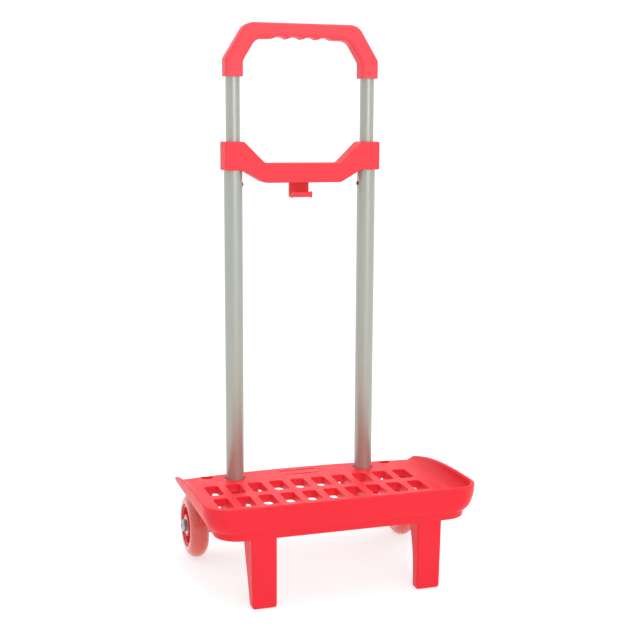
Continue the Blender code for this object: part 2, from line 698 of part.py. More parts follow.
# ---------------------------------------------------------------- the cross bracket and its hook
# Shaped with its origin between the tube axes, level with the underside of the end blocks.
def bracket_outline():
    """Front view of the bracket: two end blocks, slanted arms and a low middle bar."""
    end = TUBE_X + BRACKET_BESIDE_TUBE
    inner = TUBE_X - BRACKET_INSIDE_TUBE
    top, bottom = BRACKET_HEIGHT, 0.0
    bar_top, bar_bottom = top - BAR_DROP_TOP, bottom - BAR_DROP_BOTTOM
    right = [(BAR_HALF_LENGTH, bar_bottom, 0.012), (inner, bottom, 0.002), (end, bottom, 0.0015),
             (end, top, 0.0015), (inner, top, 0.004), (BAR_HALF_LENGTH, bar_top, 0.008)]
    left = [(-x, z, radius) for x, z, radius in reversed(right)]
    return right + left


def bracket_pocket():
    """The hollow behind the middle bar, one wall thickness inside its outline."""
    wall = BRACKET_WALL
    inner = TUBE_X - BRACKET_INSIDE_TUBE
    reach = inner - 2 * wall
    run = reach - BAR_HALF_LENGTH
    low = wall * 1.2 - BAR_DROP_BOTTOM
    high = BRACKET_HEIGHT - BAR_DROP_TOP - wall * 1.45
    low_end = low + run * BAR_DROP_BOTTOM / (inner - BAR_HALF_LENGTH)
    high_end = high + run * BAR_DROP_TOP / (inner - BAR_HALF_LENGTH)
    right = [(BAR_HALF_LENGTH, low, 0.004), (reach, low_end, 0.001),
             (reach, high_end, 0.001), (BAR_HALF_LENGTH, high, 0.004)]
    left = [(-x, z, radius) for x, z, radius in reversed(right)]
    depth = 2 * BRACKET_HALF_DEPTH - wall + OVERSHOOT
    middle_y = wall + depth / 2 - BRACKET_HALF_DEPTH
    return slab("bracket pocket", rounded(right + left, 2), depth, FRONT_VIEW, (0, middle_y, 0))


def hook():
    """A tab down from the back of the bar, a shelf forward, and a raised tip."""
    bar_bottom = -BAR_DROP_BOTTOM
    low = bar_bottom - HOOK_DROP
    back, front = HOOK_TAB_BACK, -HOOK_REACH
    tip_top = bar_bottom - HOOK_OPENING
    thick = HOOK_THICKNESS
    outline = rounded([(back, bar_bottom + BRACKET_WALL / 2, 0), (back, low, 0.0015), (front, low, 0.0015),
                       (front, tip_top, 0.001), (front + thick, tip_top, 0.001),
                       (front + thick, low + thick, 0.001), (back - thick, low + thick, 0.001),
                       (back - thick, bar_bottom + BRACKET_WALL / 2, 0)], 3)
    return slab("hook", outline, 2 * HOOK_HALF_WIDTH, SIDE_VIEW)


def cross_bracket():
    bracket = padded("cross_bracket", rounded(bracket_outline(), 4), 2 * BRACKET_HALF_DEPTH,
                     BRACKET_ROUNDING, 2, FRONT_VIEW, (0, 0, 0), CORAL_PLASTIC)
    in_triangles(bracket)
    cut(bracket, bracket_pocket())
    weld(bracket, hook())
    for side in SIDES.values():
        x = side * TUBE_X
        cut(bracket,
            rod("bracket tube bore", OUTER_TUBE_RADIUS + GAP, (x, 0, -BAR_DROP_BOTTOM),
                (x, 0, BRACKET_HEIGHT - BRACKET_CAP), "Z", 32),
            rod("bracket handle bore", INNER_TUBE_RADIUS + GAP, (x, 0, -BAR_DROP_BOTTOM),
                (x, 0, BRACKET_HEIGHT + OVERSHOOT), "Z", 32),
            back_hole("bracket screw hole", SCREW_SHANK + GAP, side, BRACKET_SCREW_HEIGHT,
                      BRACKET_HALF_DEPTH + OVERSHOOT, 0))
    settle(bracket, (0, TUBE_Y, BRACKET_Z))


# ---------------------------------------------------------------- the handle
def finger_arcs(z):
    """Scallops for the fingers along the underside of the grip, from left to right."""
    half = FINGER_PITCH / 2
    radius = (half ** 2 + FINGER_DEPTH ** 2) / (2 * FINGER_DEPTH)
    spread = math.degrees(math.asin(half / radius))
    points = []
    for i in range(FINGERS):
        x = (i - (FINGERS - 1) / 2) * FINGER_PITCH
        scallop = arc((x, z + FINGER_DEPTH - radius), radius, 90 + spread, 90 - spread, 5)
        points += scallop if i == FINGERS - 1 else scallop[:-1]
    return points


# Shaped with its origin between the tube axes, level with the foot of its legs.
def grip_outline(below):
    """Front view of the grip: straight legs, slanted corners, a bar with scallops under it."""
    half = GRIP_LEG_WIDTH / 2
    outer, inner = TUBE_X + half, TUBE_X - half
    knee = GRIP_LEG_HEIGHT
    foot = -below
    under = GRIP_HEIGHT - GRIP_BAR_HEIGHT
    knee_inner = knee - 0.003
    slope_in = inner - GRIP_SHOULDER * 0.6
    right_outer = [(outer, foot, 0), (outer, knee, 0.008), (outer - GRIP_SHOULDER, GRIP_HEIGHT, 0.018)]
    right_inner = [(slope_in, under, 0.014), (inner, knee_inner, 0.010), (inner, foot, 0)]
    left_outer = [(-x, z, radius) for x, z, radius in reversed(right_outer)]
    left_inner = [(-x, z, radius) for x, z, radius in reversed(right_inner)]
    fingers = [(x, z, 0) for x, z in finger_arcs(under)]
    return rounded(right_outer + left_outer + left_inner + fingers + right_inner, 5)


def grip():
    below = 2 * OVERSHOOT
    handle = padded("grip", grip_outline(below), GRIP_DEPTH, GRIP_ROUNDING, 3,
                    FRONT_VIEW, (0, 0, 0), CORAL_PLASTIC)
    in_triangles(handle)
    reach = TUBE_X + GRIP_LEG_WIDTH
    cut(handle, block("grip foot trim", (-reach, -GRIP_DEPTH, -3 * below), (reach, GRIP_DEPTH, 0)))
    for side in SIDES.values():
        x = side * TUBE_X
        cut(handle,
            rod("grip socket", INNER_TUBE_RADIUS + GAP, (x, 0, -OVERSHOOT),
                (x, 0, GRIP_SOCKET_DEPTH), "Z", 32),
            back_hole("grip screw hole", SCREW_SHANK + GAP, side, GRIP_SOCKET_DEPTH / 2, GRIP_DEPTH, 0))
    settle(handle, (0, TUBE_Y, GRIP_Z))


def inner_tube(label, side):
    tube = sleeve("inner_tube_" + label, SATIN_TUBE, INNER_BORE, INNER_TUBE_RADIUS,
                  INNER_FOOT_Z, INNER_TOP_Z, side * TUBE_X)
    reach = INNER_TUBE_RADIUS + OVERSHOOT
    cut(tube, side_hole("button hole in inner tube", BUTTON_RADIUS + GAP, side, BUTTON_Z, reach),
        back_hole("grip screw hole in tube", SCREW_SHANK + GAP, side, GRIP_SCREW_Z, reach))


def inner_tube_foot(label, side):
    """Nylon foot of the inner tube: a stem in its bore and a collar that slides in the outer tube."""
    stem, collar = INNER_BORE - GAP, OUTER_BORE - GAP
    collar_top = INNER_FOOT_Z - GAP
    profile = [(0, collar_top + FOOT_STEM), (stem, collar_top + FOOT_STEM), (stem, collar_top),
               (collar, collar_top), (collar, collar_top - FOOT_COLLAR), (0, collar_top - FOOT_COLLAR)]
    turned("inner_tube_foot_" + label, profile, BLACK_PLASTIC,
           Matrix.Translation((side * TUBE_X, TUBE_Y, 0)), 32)


def snap_clip(label, side):
    """V-shaped leaf spring inside the inner tube, with a button through both tubes."""
    reach = math.sqrt((INNER_BORE - GAP) ** 2 - (CLIP_WIDTH / 2) ** 2)
    low = BUTTON_Z - 2 * BUTTON_RADIUS
    bend_z = low + CLIP_HEIGHT
    outer = arc((0, bend_z), CLIP_BEND_RADIUS, 0, 180, 6)
    inner = arc((0, bend_z), CLIP_BEND_RADIUS - CLIP_THICKNESS, 180, 0, 6)
    outline = [(reach, low)] + outer + [(-reach, low), (-reach + CLIP_THICKNESS, low)] + inner
    outline += [(reach - CLIP_THICKNESS, low)]
    x = side * TUBE_X
    clip = slab("snap_clip_" + label, outline, CLIP_WIDTH, FRONT_VIEW, (x, TUBE_Y, 0), BLACK_SPRING)
    tip = OUTER_TUBE_RADIUS + BUTTON_PROUD
    root = reach - 4 * CLIP_THICKNESS
    edge = BUTTON_RADIUS * 0.35
    dome = [(0, tip), (BUTTON_RADIUS - edge, tip - edge * 0.3), (BUTTON_RADIUS, tip - edge),
            (BUTTON_RADIUS, root), (0, root)]
    button = turned("snap button " + label, dome, BLACK_SPRING,
                    Matrix.Translation((x, TUBE_Y, BUTTON_Z)) @ TO_AXIS["X"]
                    @ Matrix.Rotation(math.pi if side > 0 else 0, 4, "Y"), 16)
    TROLLEY.objects.unlink(button)
    CUTTERS.objects.link(button)
    button.hide_render = True
    button.display_type = "WIRE"
    weld(clip, button)


# ---------------------------------------------------------------- the wheels
def across(side, x=0.0, y=AXLE_Y, z=WHEEL_RADIUS):
    """Turned pieces on the axle: their +Z becomes the outward side of the trolley."""
    turn = TO_AXIS["X"] if side > 0 else Matrix.Rotation(math.radians(-90), 4, "Y")
    return Matrix.Translation((side * x, y, z)) @ turn


def tyre(label, side):
    """Polyurethane tyre with a rounded tread, moulded round the core."""
    half = TYRE_WIDTH / 2
    bulge = half
    bore = HUB_RADIUS + GAP
    crown = WHEEL_RADIUS - bulge
    lip = HUB_WIDTH / 2
    tread = [(crown + bulge * math.cos(math.radians(a)), half * math.sin(math.radians(a)))
             for a in range(75, -76, -15)]
    profile = [(bore, lip), (crown - 0.001, lip + 0.0006)] + tread
    profile += [(crown - 0.001, -lip - 0.0006), (bore, -lip)]
    turned("tyre_" + label, profile, CLEAR_TYRE, across(side, WHEEL_X), ROUND_STEPS, closed=True)


def hub(label, side):
    """Core of the wheel: a rim, a web, and a seat for a bearing on each side."""
    half = HUB_WIDTH / 2
    seat = BEARING_RADIUS + GAP
    seat_floor = half - BEARING_WIDTH - GAP
    boss = seat + 0.0025
    web = HUB_WEB / 2
    rim_inner = HUB_RADIUS - 0.0035
    profile = [(seat, half), (boss, half), (boss, web), (rim_inner, web), (rim_inner, half - 0.001),
               (HUB_RADIUS, half - 0.001), (HUB_RADIUS, -half + 0.001), (rim_inner, -half + 0.001),
               (rim_inner, -web), (boss, -web), (boss, -half), (seat, -half), (seat, -seat_floor),
               (SPACER_RADIUS + GAP, -seat_floor), (SPACER_RADIUS + GAP, seat_floor), (seat, seat_floor)]
    turned("wheel_hub_" + label, profile, RED_CORE, across(side, WHEEL_X), ROUND_STEPS, closed=True)


def bearing(name, side, x):
    """Shielded ball bearing, with a shallow groove where each shield sits."""
    half = BEARING_WIDTH / 2
    inner_race, outer_race, groove = 0.0062, 0.0094, 0.0004
    face = [(inner_race, half), (inner_race, half - groove), (outer_race, half - groove), (outer_race, half)]
    back = [(radius, -height) for radius, height in reversed(face)]
    profile = [(BEARING_BORE, half)] + face + [(BEARING_RADIUS, half), (BEARING_RADIUS, -half)]
    profile += back + [(BEARING_BORE, -half)]
    turned(name, profile, BEARING_STEEL, across(side, x), 32, closed=True)


def ring(name, finish, bore, radius, thickness, side, x, steps=24):
    """A washer or spacer on the axle, centred at x."""
    turned(name, ring_profile(bore, radius, -thickness / 2, thickness / 2), finish,
           across(side, x), steps, closed=True)


def axle_bolt(label, side, head_x, end_x):
    """Round-headed bolt through the wheel and the boss, with a hexagon recess in its head."""
    head, height = BOLT_HEAD_RADIUS, BOLT_HEAD_HEIGHT
    dome = [(0, height), (head * 0.55, height * 0.97), (head * 0.85, height * 0.72),
            (head, height * 0.3), (head, 0)]
    profile = dome + [(AXLE_RADIUS, 0), (AXLE_RADIUS, end_x - head_x), (0, end_x - head_x)]
    bolt = turned("axle_bolt_" + label, profile, ZINC, across(side, head_x), 24)
    recess = rod("hexagon recess", 0.0029, (side * (head_x + height * 0.4), AXLE_Y, WHEEL_RADIUS),
                 (side * (head_x + height + OVERSHOOT), AXLE_Y, WHEEL_RADIUS), "X", 6)
    cut(bolt, recess)


def lock_nut(label, side, x):
    """Hexagon nut with a collar, on the inner end of the axle bolt."""
    low, high = sorted((side * x, side * (x + NUT_THICKNESS * 0.7)))
    nut = rod("lock_nut_" + label, NUT_RADIUS, (low, AXLE_Y, WHEEL_RADIUS), (high, AXLE_Y, WHEEL_RADIUS),
              "X", 6, ZINC)
    collar = rod("nut collar", NUT_RADIUS * 0.8, (side * (x - NUT_THICKNESS * 0.3), AXLE_Y, WHEEL_RADIUS),
                 (side * (x + NUT_THICKNESS * 0.35), AXLE_Y, WHEEL_RADIUS), "X", 24)
    weld(nut, collar)
    cut(nut, rod("nut bore", AXLE_RADIUS + GAP, (side * (x - NUT_THICKNESS), AXLE_Y, WHEEL_RADIUS),
                 (side * (x + NUT_THICKNESS), AXLE_Y, WHEEL_RADIUS), "X"))


def wheel(label, side):
    tyre(label, side)
    hub(label, side)
    seat = HUB_WIDTH / 2 - BEARING_WIDTH / 2
    bearing("outer_bearing_" + label, side, WHEEL_X + seat)
    bearing("inner_bearing_" + label, side, WHEEL_X - seat)
    spacer_length = HUB_WIDTH - 2 * BEARING_WIDTH - 2 * GAP
    bore = AXLE_RADIUS + 0.0001
    ring("bearing_spacer_" + label, ZINC, bore, SPACER_RADIUS, spacer_length, side, WHEEL_X)
    outer_washer_x = WHEEL_X + HUB_WIDTH / 2 + GAP + WASHER_THICKNESS / 2
    inner_washer_x = WHEEL_X - HUB_WIDTH / 2 - GAP - WASHER_THICKNESS / 2
    for name, x in (("outer_washer_", outer_washer_x), ("inner_washer_", inner_washer_x)):
        ring(name + label, ZINC, AXLE_RADIUS + GAP, WASHER_RADIUS, WASHER_THICKNESS, side, x)
    head_x = outer_washer_x + WASHER_THICKNESS / 2 + GAP
    nut_face = WEB_X - BOSS_LENGTH - GAP
    nut_x = nut_face - NUT_THICKNESS * 0.7
    axle_bolt(label, side, head_x, nut_x - NUT_THICKNESS * 0.3 - 0.002)
    lock_nut(label, side, nut_x)


# ---------------------------------------------------------------- the small screws
def screw(name, side, z, seat_radius, tip_radius):
    """Pan-head screw into the back of a tube; radii are measured from the tube's axis."""
    under = seat_radius + GAP
    top = under + SCREW_HEAD_HEIGHT
    profile = [(0, top), (SCREW_HEAD * 0.6, top - 0.0002), (SCREW_HEAD, under + SCREW_HEAD_HEIGHT * 0.4),
               (SCREW_HEAD, under), (SCREW_SHANK, under), (SCREW_SHANK, tip_radius + 0.001), (0, tip_radius)]
    fix = turned(name, profile, ZINC, Matrix.Translation((side * TUBE_X, TUBE_Y, z)) @ TO_AXIS["Y"], 16)
    groove = 0.0004
    y_low, y_high = TUBE_Y + top - 0.0011, TUBE_Y + top + OVERSHOOT
    x, reach = side * TUBE_X, SCREW_HEAD * 0.5
    cut(fix, block("screw slot", (x - groove, y_low, z - reach), (x + groove, y_high, z + reach)),
        block("screw cross slot", (x - reach, y_low, z - groove), (x + reach, y_high, z + groove)))


# ---------------------------------------------------------------- the whole trolley
platform()
cross_bracket()
grip()
for label, side in SIDES.items():
    outer_tube(label, side)
    guide_bush(label, side)
    inner_tube(label, side)
    inner_tube_foot(label, side)
    snap_clip(label, side)
    wheel(label, side)
    screw("socket_screw_" + label, side, socket_screw_z(), SOCKET_RADIUS, OUTER_TUBE_RADIUS - 0.004)
    screw("bracket_screw_" + label, side, BRACKET_SCREW_Z, BRACKET_HALF_DEPTH, OUTER_BORE + 0.0001)
    screw("grip_screw_" + label, side, GRIP_SCREW_Z, GRIP_DEPTH / 2, INNER_TUBE_RADIUS - 0.003)
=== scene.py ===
"""A coral luggage trolley: a moulded tray on two legs and two wheels, two uprights, a cross bracket
with a bag hook, and a handle that slides in the uprights. Metres, +Z up, front towards -Y."""
import math

import bmesh
import bpy
from mathutils import Matrix, Vector


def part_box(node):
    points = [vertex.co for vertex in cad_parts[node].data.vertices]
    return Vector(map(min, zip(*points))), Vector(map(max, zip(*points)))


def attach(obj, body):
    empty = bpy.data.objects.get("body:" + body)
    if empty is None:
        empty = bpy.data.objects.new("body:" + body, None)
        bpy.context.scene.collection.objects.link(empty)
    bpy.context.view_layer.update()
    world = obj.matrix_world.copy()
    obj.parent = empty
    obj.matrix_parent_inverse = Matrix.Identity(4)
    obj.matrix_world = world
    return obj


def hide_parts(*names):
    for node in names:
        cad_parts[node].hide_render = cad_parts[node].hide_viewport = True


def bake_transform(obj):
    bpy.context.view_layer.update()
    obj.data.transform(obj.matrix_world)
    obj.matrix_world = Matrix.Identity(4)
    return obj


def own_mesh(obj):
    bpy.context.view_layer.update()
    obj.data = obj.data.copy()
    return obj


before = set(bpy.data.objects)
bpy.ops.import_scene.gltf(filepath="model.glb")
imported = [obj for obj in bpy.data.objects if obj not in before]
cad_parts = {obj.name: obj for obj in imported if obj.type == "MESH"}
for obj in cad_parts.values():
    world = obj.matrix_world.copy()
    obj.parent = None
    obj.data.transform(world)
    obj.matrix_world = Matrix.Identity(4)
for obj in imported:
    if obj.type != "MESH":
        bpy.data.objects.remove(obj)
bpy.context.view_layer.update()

# ------------------------------------------------------------------ viewpoint, floor and studio light
# A long lens, just under the grip's height and to the left of the front, looking slightly down. The studio is
# a white cove with a broad lamp overhead and one in front, and is dimmer on the side behind the lens.
view_turn, view_drop, view_roll = math.radians(-18.19), math.radians(9.5), math.radians(-0.316)
view_place = (-0.4331, -1.3205, 0.5366)
lens = bpy.data.cameras.new("view camera")
lens.lens, lens.sensor_width = 66.82, 36.0
camera = bpy.data.objects.new("view camera", lens)
bpy.context.scene.collection.objects.link(camera)
backward = Vector((math.sin(view_turn) * math.cos(view_drop), -math.cos(view_turn) * math.cos(view_drop),
                   math.sin(view_drop)))
rightward = Vector((math.cos(view_turn), math.sin(view_turn), 0.0))
upward = backward.cross(rightward)
level_right = rightward * math.cos(view_roll) - upward * math.sin(view_roll)
level_up = rightward * math.sin(view_roll) + upward * math.cos(view_roll)
camera.matrix_world = (Matrix.Translation(view_place)
                       @ Matrix((level_right, level_up, backward)).transposed().to_4x4())
bpy.context.scene.camera = camera
bpy.context.scene.view_settings.view_transform = "Standard"

front_light, rear_light = 0.45, 1.12
studio = bpy.data.worlds.new("white studio")
bpy.context.scene.world = studio
studio.use_nodes = True
sky, sky_links = studio.node_tree.nodes, studio.node_tree.links
direction = sky.new("ShaderNodeTexCoord")
split = sky.new("ShaderNodeSeparateXYZ")
fade = sky.new("ShaderNodeMapRange")
fade.inputs["From Min"].default_value, fade.inputs["From Max"].default_value = -0.9, 0.35
fade.inputs["To Min"].default_value, fade.inputs["To Max"].default_value = front_light, rear_light
sky_links.new(direction.outputs["Generated"], split.inputs["Vector"])
sky_links.new(split.outputs["Y"], fade.inputs["Value"])
sky_links.new(fade.outputs["Result"], sky["Background"].inputs["Strength"])
sky["Background"].inputs["Color"].default_value = (1.0, 1.0, 1.0, 1.0)


def lamp(name, place, aim, width, height, power):
    """A soft rectangular studio lamp, turned to face a point."""
    light = bpy.data.lights.new(name, "AREA")
    light.shape, light.size, light.size_y, light.energy = "RECTANGLE", width, height, power
    holder = bpy.data.objects.new(name, light)
    bpy.context.scene.collection.objects.link(holder)
    holder.location = place
    holder.rotation_euler = (Vector(aim) - Vector(place)).to_track_quat("-Z", "Y").to_euler()


lamp("overhead lamp", (0.1, -0.1, 2.4), (0.0, 0.0, 0.0), 2.4, 2.4, 24)
lamp("front lamp", (0.55, -2.6, 1.3), (0.0, 0.0, 0.3), 1.8, 1.6, 30)


class Finish:
    """A material built up in steps: noise that varies its colour, roughness and relief."""

    def __init__(self, name, **sockets):
        """Every further argument is a value for the shader's own socket of that name."""
        self.material = bpy.data.materials.new(name)
        self.material.use_nodes = True
        self.tree = self.material.node_tree
        self.shader = self.tree.nodes["Principled BSDF"]
        self.place = None
        for key, value in sockets.items():
            self.shader.inputs[key.replace("_", " ")].default_value = value

    def add(self, kind, **settings):
        node = self.tree.nodes.new(kind)
        for key, value in settings.items():
            if hasattr(node, key):
                setattr(node, key, value)
            else:
                node.inputs[key.replace("_", " ")].default_value = value
        return node

    def noise(self, scale, detail, roughness=0.5, stretch=None):
        """A noise field fixed to the piece, drawn out along an axis if stretch is given."""
        if self.place is None:
            self.place = self.add("ShaderNodeTexCoord").outputs["Object"]
        field = self.add("ShaderNodeTexNoise", Scale=scale, Detail=detail, Roughness=roughness)
        source = self.place
        if stretch:
            mapping = self.add("ShaderNodeMapping", Scale=stretch)
            self.tree.links.new(source, mapping.inputs["Vector"])
            source = mapping.outputs["Vector"]
        self.tree.links.new(source, field.inputs["Vector"])
        return field.outputs["Fac"]

    def colour(self, field, dark, light):
        """The base colour, from dark to light with the field."""
        mix = self.add("ShaderNodeMix", data_type="RGBA")
        mix.inputs["A"].default_value = (*dark, 1.0)
        mix.inputs["B"].default_value = (*light, 1.0)
        self.tree.links.new(field, mix.inputs["Factor"])
        self.tree.links.new(mix.outputs["Result"], self.shader.inputs["Base Color"])
        return mix.outputs["Result"]

    def roughness(self, field, low, high, start=0.0, end=1.0):
        """Roughness from low to high while the field runs from start to end."""
        spread = self.add("ShaderNodeMapRange", From_Min=start, From_Max=end, To_Min=low, To_Max=high)
        self.tree.links.new(field, spread.inputs["Value"])
        self.tree.links.new(spread.outputs["Result"], self.shader.inputs["Roughness"])

    def relief(self, field, strength, depth):
        """A fine texture in the surface, of that depth in metres."""
        bump = self.add("ShaderNodeBump", Strength=strength, Distance=depth)
        self.tree.links.new(field, bump.inputs["Height"])
        self.tree.links.new(bump.outputs["Normal"], self.shader.inputs["Normal"])


paper = Finish("white cove", Base_Color=(0.41, 0.47, 0.47, 1.0), Roughness=0.9, Specular_IOR_Level=0.1,
               Emission_Color=(1.0, 1.0, 1.0, 1.0), Emission_Strength=0.62)
cove_reach = 12
floor_mesh = bpy.data.meshes.new("floor")
floor_mesh.from_pydata([(x * cove_reach, y * cove_reach, 0) for x, y in ((-1, -1), (1, -1), (1, 1), (-1, 1))],
                       [], [(0, 1, 2, 3)])
floor_mesh.materials.append(paper.material)
floor = bpy.data.objects.new("floor", floor_mesh)
bpy.context.scene.collection.objects.link(floor)

# ------------------------------------------------------------------ the tray, its legs and wheel mounts
# One injection moulding in coral polypropylene: a perforated deck inside a raised rim, two channel legs in
# front, a socket for each upright and a pair of webs for each axle. The open underside shows its ribs.
tray_low, tray_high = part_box("tray_platform")
tyre_low, tyre_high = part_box("tyre_right")
upright_low, upright_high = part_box("outer_tube_right")
upright_x = (upright_low.x + upright_high.x) / 2
upright_y = (upright_low.y + upright_high.y) / 2
upright_radius = (upright_high.x - upright_low.x) / 2
axle_y, axle_z = (tyre_low.y + tyre_high.y) / 2, (tyre_low.z + tyre_high.z) / 2

wall = 0.003
step_out = 0.0008
skirt_z = tyre_high.z + 0.001
step_z = skirt_z + 0.008
deck_z = skirt_z + 0.0146
deck_middle_z = deck_z - wall / 2
rim_z = tray_high.z
front_y, rear_y = tray_low.y, tray_high.y
flare_side, flare_front = 0.012, 0.0035
skirt_x = tray_high.x - flare_side - step_out
skirt_y = front_y + flare_front + step_out
rear_bow = 0.0095


def coral_plastic(name, deep, light, shine):
    """Coral polypropylene straight from the tool: a fine spark texture, faint flow marks, edges paled as
    painted highlight.
    """
    finish = Finish(name, IOR=1.49, Specular_IOR_Level=shine)
    tint = finish.colour(finish.noise(9.0, 3.0, 0.55), deep, light)
    join = finish.tree.links.new
    # Painted highlight: on sharp convex edges the colour turns paler, towards (0.90, 0.10, 0.12).
    edge = finish.add("ShaderNodeNewGeometry").outputs["Pointiness"]
    painted_edge_highlight = finish.add("ShaderNodeMapRange", From_Min=0.52, From_Max=0.62, To_Min=0.0, To_Max=0.35)
    join(edge, painted_edge_highlight.inputs["Value"])
    edge_highlight_colour = finish.add("ShaderNodeMix", data_type="RGBA")
    edge_highlight_colour.inputs["B"].default_value = (0.90, 0.10, 0.12, 1.0)
    join(painted_edge_highlight.outputs["Result"], edge_highlight_colour.inputs["Factor"])
    join(tint, edge_highlight_colour.inputs["A"])
    join(edge_highlight_colour.outputs["Result"], finish.shader.inputs["Base Color"])
    finish.roughness(finish.noise(70.0, 4.0, 0.6), 0.34, 0.46, 0.3, 0.7)
    finish.relief(finish.noise(1400.0, 2.0), 0.10, 0.0002)
    return finish.material


tray_coral = coral_plastic("coral tray plastic", (0.76, 0.011, 0.023), (0.83, 0.019, 0.035), 0.24)


def turn_points(centre, radius, start, end, steps):
    """Points along an arc in plan, angles in degrees."""
    angles = [math.radians(start + (end - start) * i / steps) for i in range(steps + 1)]
    return [(centre[0] + radius * math.cos(a), centre[1] + radius * math.sin(a)) for a in angles]


def between(a, b, steps):
    """Evenly spaced points on the straight line from a to b, without its ends."""
    return [(a[0] + (b[0] - a[0]) * i / steps, a[1] + (b[1] - a[1]) * i / steps) for i in range(1, steps)]


side_steps = 36


def level(half_width, low_y, high_y, radius):
    """One level of the tray in plan, anticlockwise from the left side's rear end; the rear edge is bowed."""
    small = 0.006
    bow = rear_bow * (half_width / skirt_x) ** 2
    side_y = high_y - bow - small
    left = turn_points((-half_width + radius, low_y + radius), radius, 180, 270, 12)
    right = turn_points((half_width - radius, low_y + radius), radius, 270, 360, 12)
    rear_right = turn_points((half_width - small, side_y), small, 0, 90, 5)
    rear_left = turn_points((-half_width + small, side_y), small, 90, 180, 5)
    reach = half_width - small
    rear = [(reach - 2 * reach * i / 32, high_y - bow * (1 - 2 * i / 32) ** 2) for i in range(1, 32)]
    return (left + between(left[-1], right[0], 16) + right + between(right[-1], rear_right[0], side_steps)
            + rear_right + rear + rear_left + between(rear_left[-1], left[0], side_steps))


def join_rings(rings, turned=False):
    """A closed mesh through rings that all have the same number of points, or a ring of them if turned."""
    work = bmesh.new()
    rows = [[work.verts.new(point) for point in ring] for ring in rings]
    count = len(rows[0])
    pairs = list(zip(rows, rows[1:])) + ([(rows[-1], rows[0])] if turned else [])
    for low, high in pairs:
        for i in range(count):
            work.faces.new((low[i], low[(i + 1) % count], high[(i + 1) % count], high[i]))
    if not turned:
        work.faces.new(rows[0][::-1])
        work.faces.new(rows[-1])
    bmesh.ops.recalc_face_normals(work, faces=work.faces)
    mesh = bpy.data.meshes.new("rings")
    work.to_mesh(mesh)
    work.free()
    return mesh


def together(meshes):
    """Several meshes that don't touch, as one."""
    work = bmesh.new()
    for mesh in meshes:
        work.from_mesh(mesh)
    whole = bpy.data.meshes.new("together")
    work.to_mesh(whole)
    work.free()
    return whole


def shaped(blank, *steps):
    """A blank with other meshes joined to it or cut from it, in turn: (operation, mesh) pairs."""
    stock = bpy.data.objects.new("blank", blank)
    bpy.context.scene.collection.objects.link(stock)
    stock.modifiers.new("flat faces", "TRIANGULATE")
    tools = []
    for operation, mesh in steps:
        tool = bpy.data.objects.new("tool", mesh)
        bpy.context.scene.collection.objects.link(tool)
        tool.modifiers.new("flat faces", "TRIANGULATE")
        work = stock.modifiers.new(operation, "BOOLEAN")
        work.operation, work.solver, work.object = operation, "EXACT", tool
        tools.append(tool)
    bpy.context.view_layer.update()
    ready = stock.evaluated_get(bpy.context.evaluated_depsgraph_get())
    mesh = bpy.data.meshes.new_from_object(ready)
    for spare in [stock] + tools:
        bpy.data.objects.remove(spare)
    return mesh


def fit(name, mesh, finish, body, nodes, crease=32):
    """Shade a finished mesh, give it its material and hang it on its body in place of its solids."""
    mesh.materials.clear()
    mesh.materials.append(finish)
    mesh.shade_smooth()
    mesh.set_sharp_from_angle(angle=math.radians(crease))
    piece = bpy.data.objects.new(name, mesh)
    bpy.context.scene.collection.objects.link(piece)
    even = piece.modifiers.new("even shading", "WEIGHTED_NORMAL")
    even.keep_sharp = True
    if body:
        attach(piece, body)
    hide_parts(*nodes)
    return piece


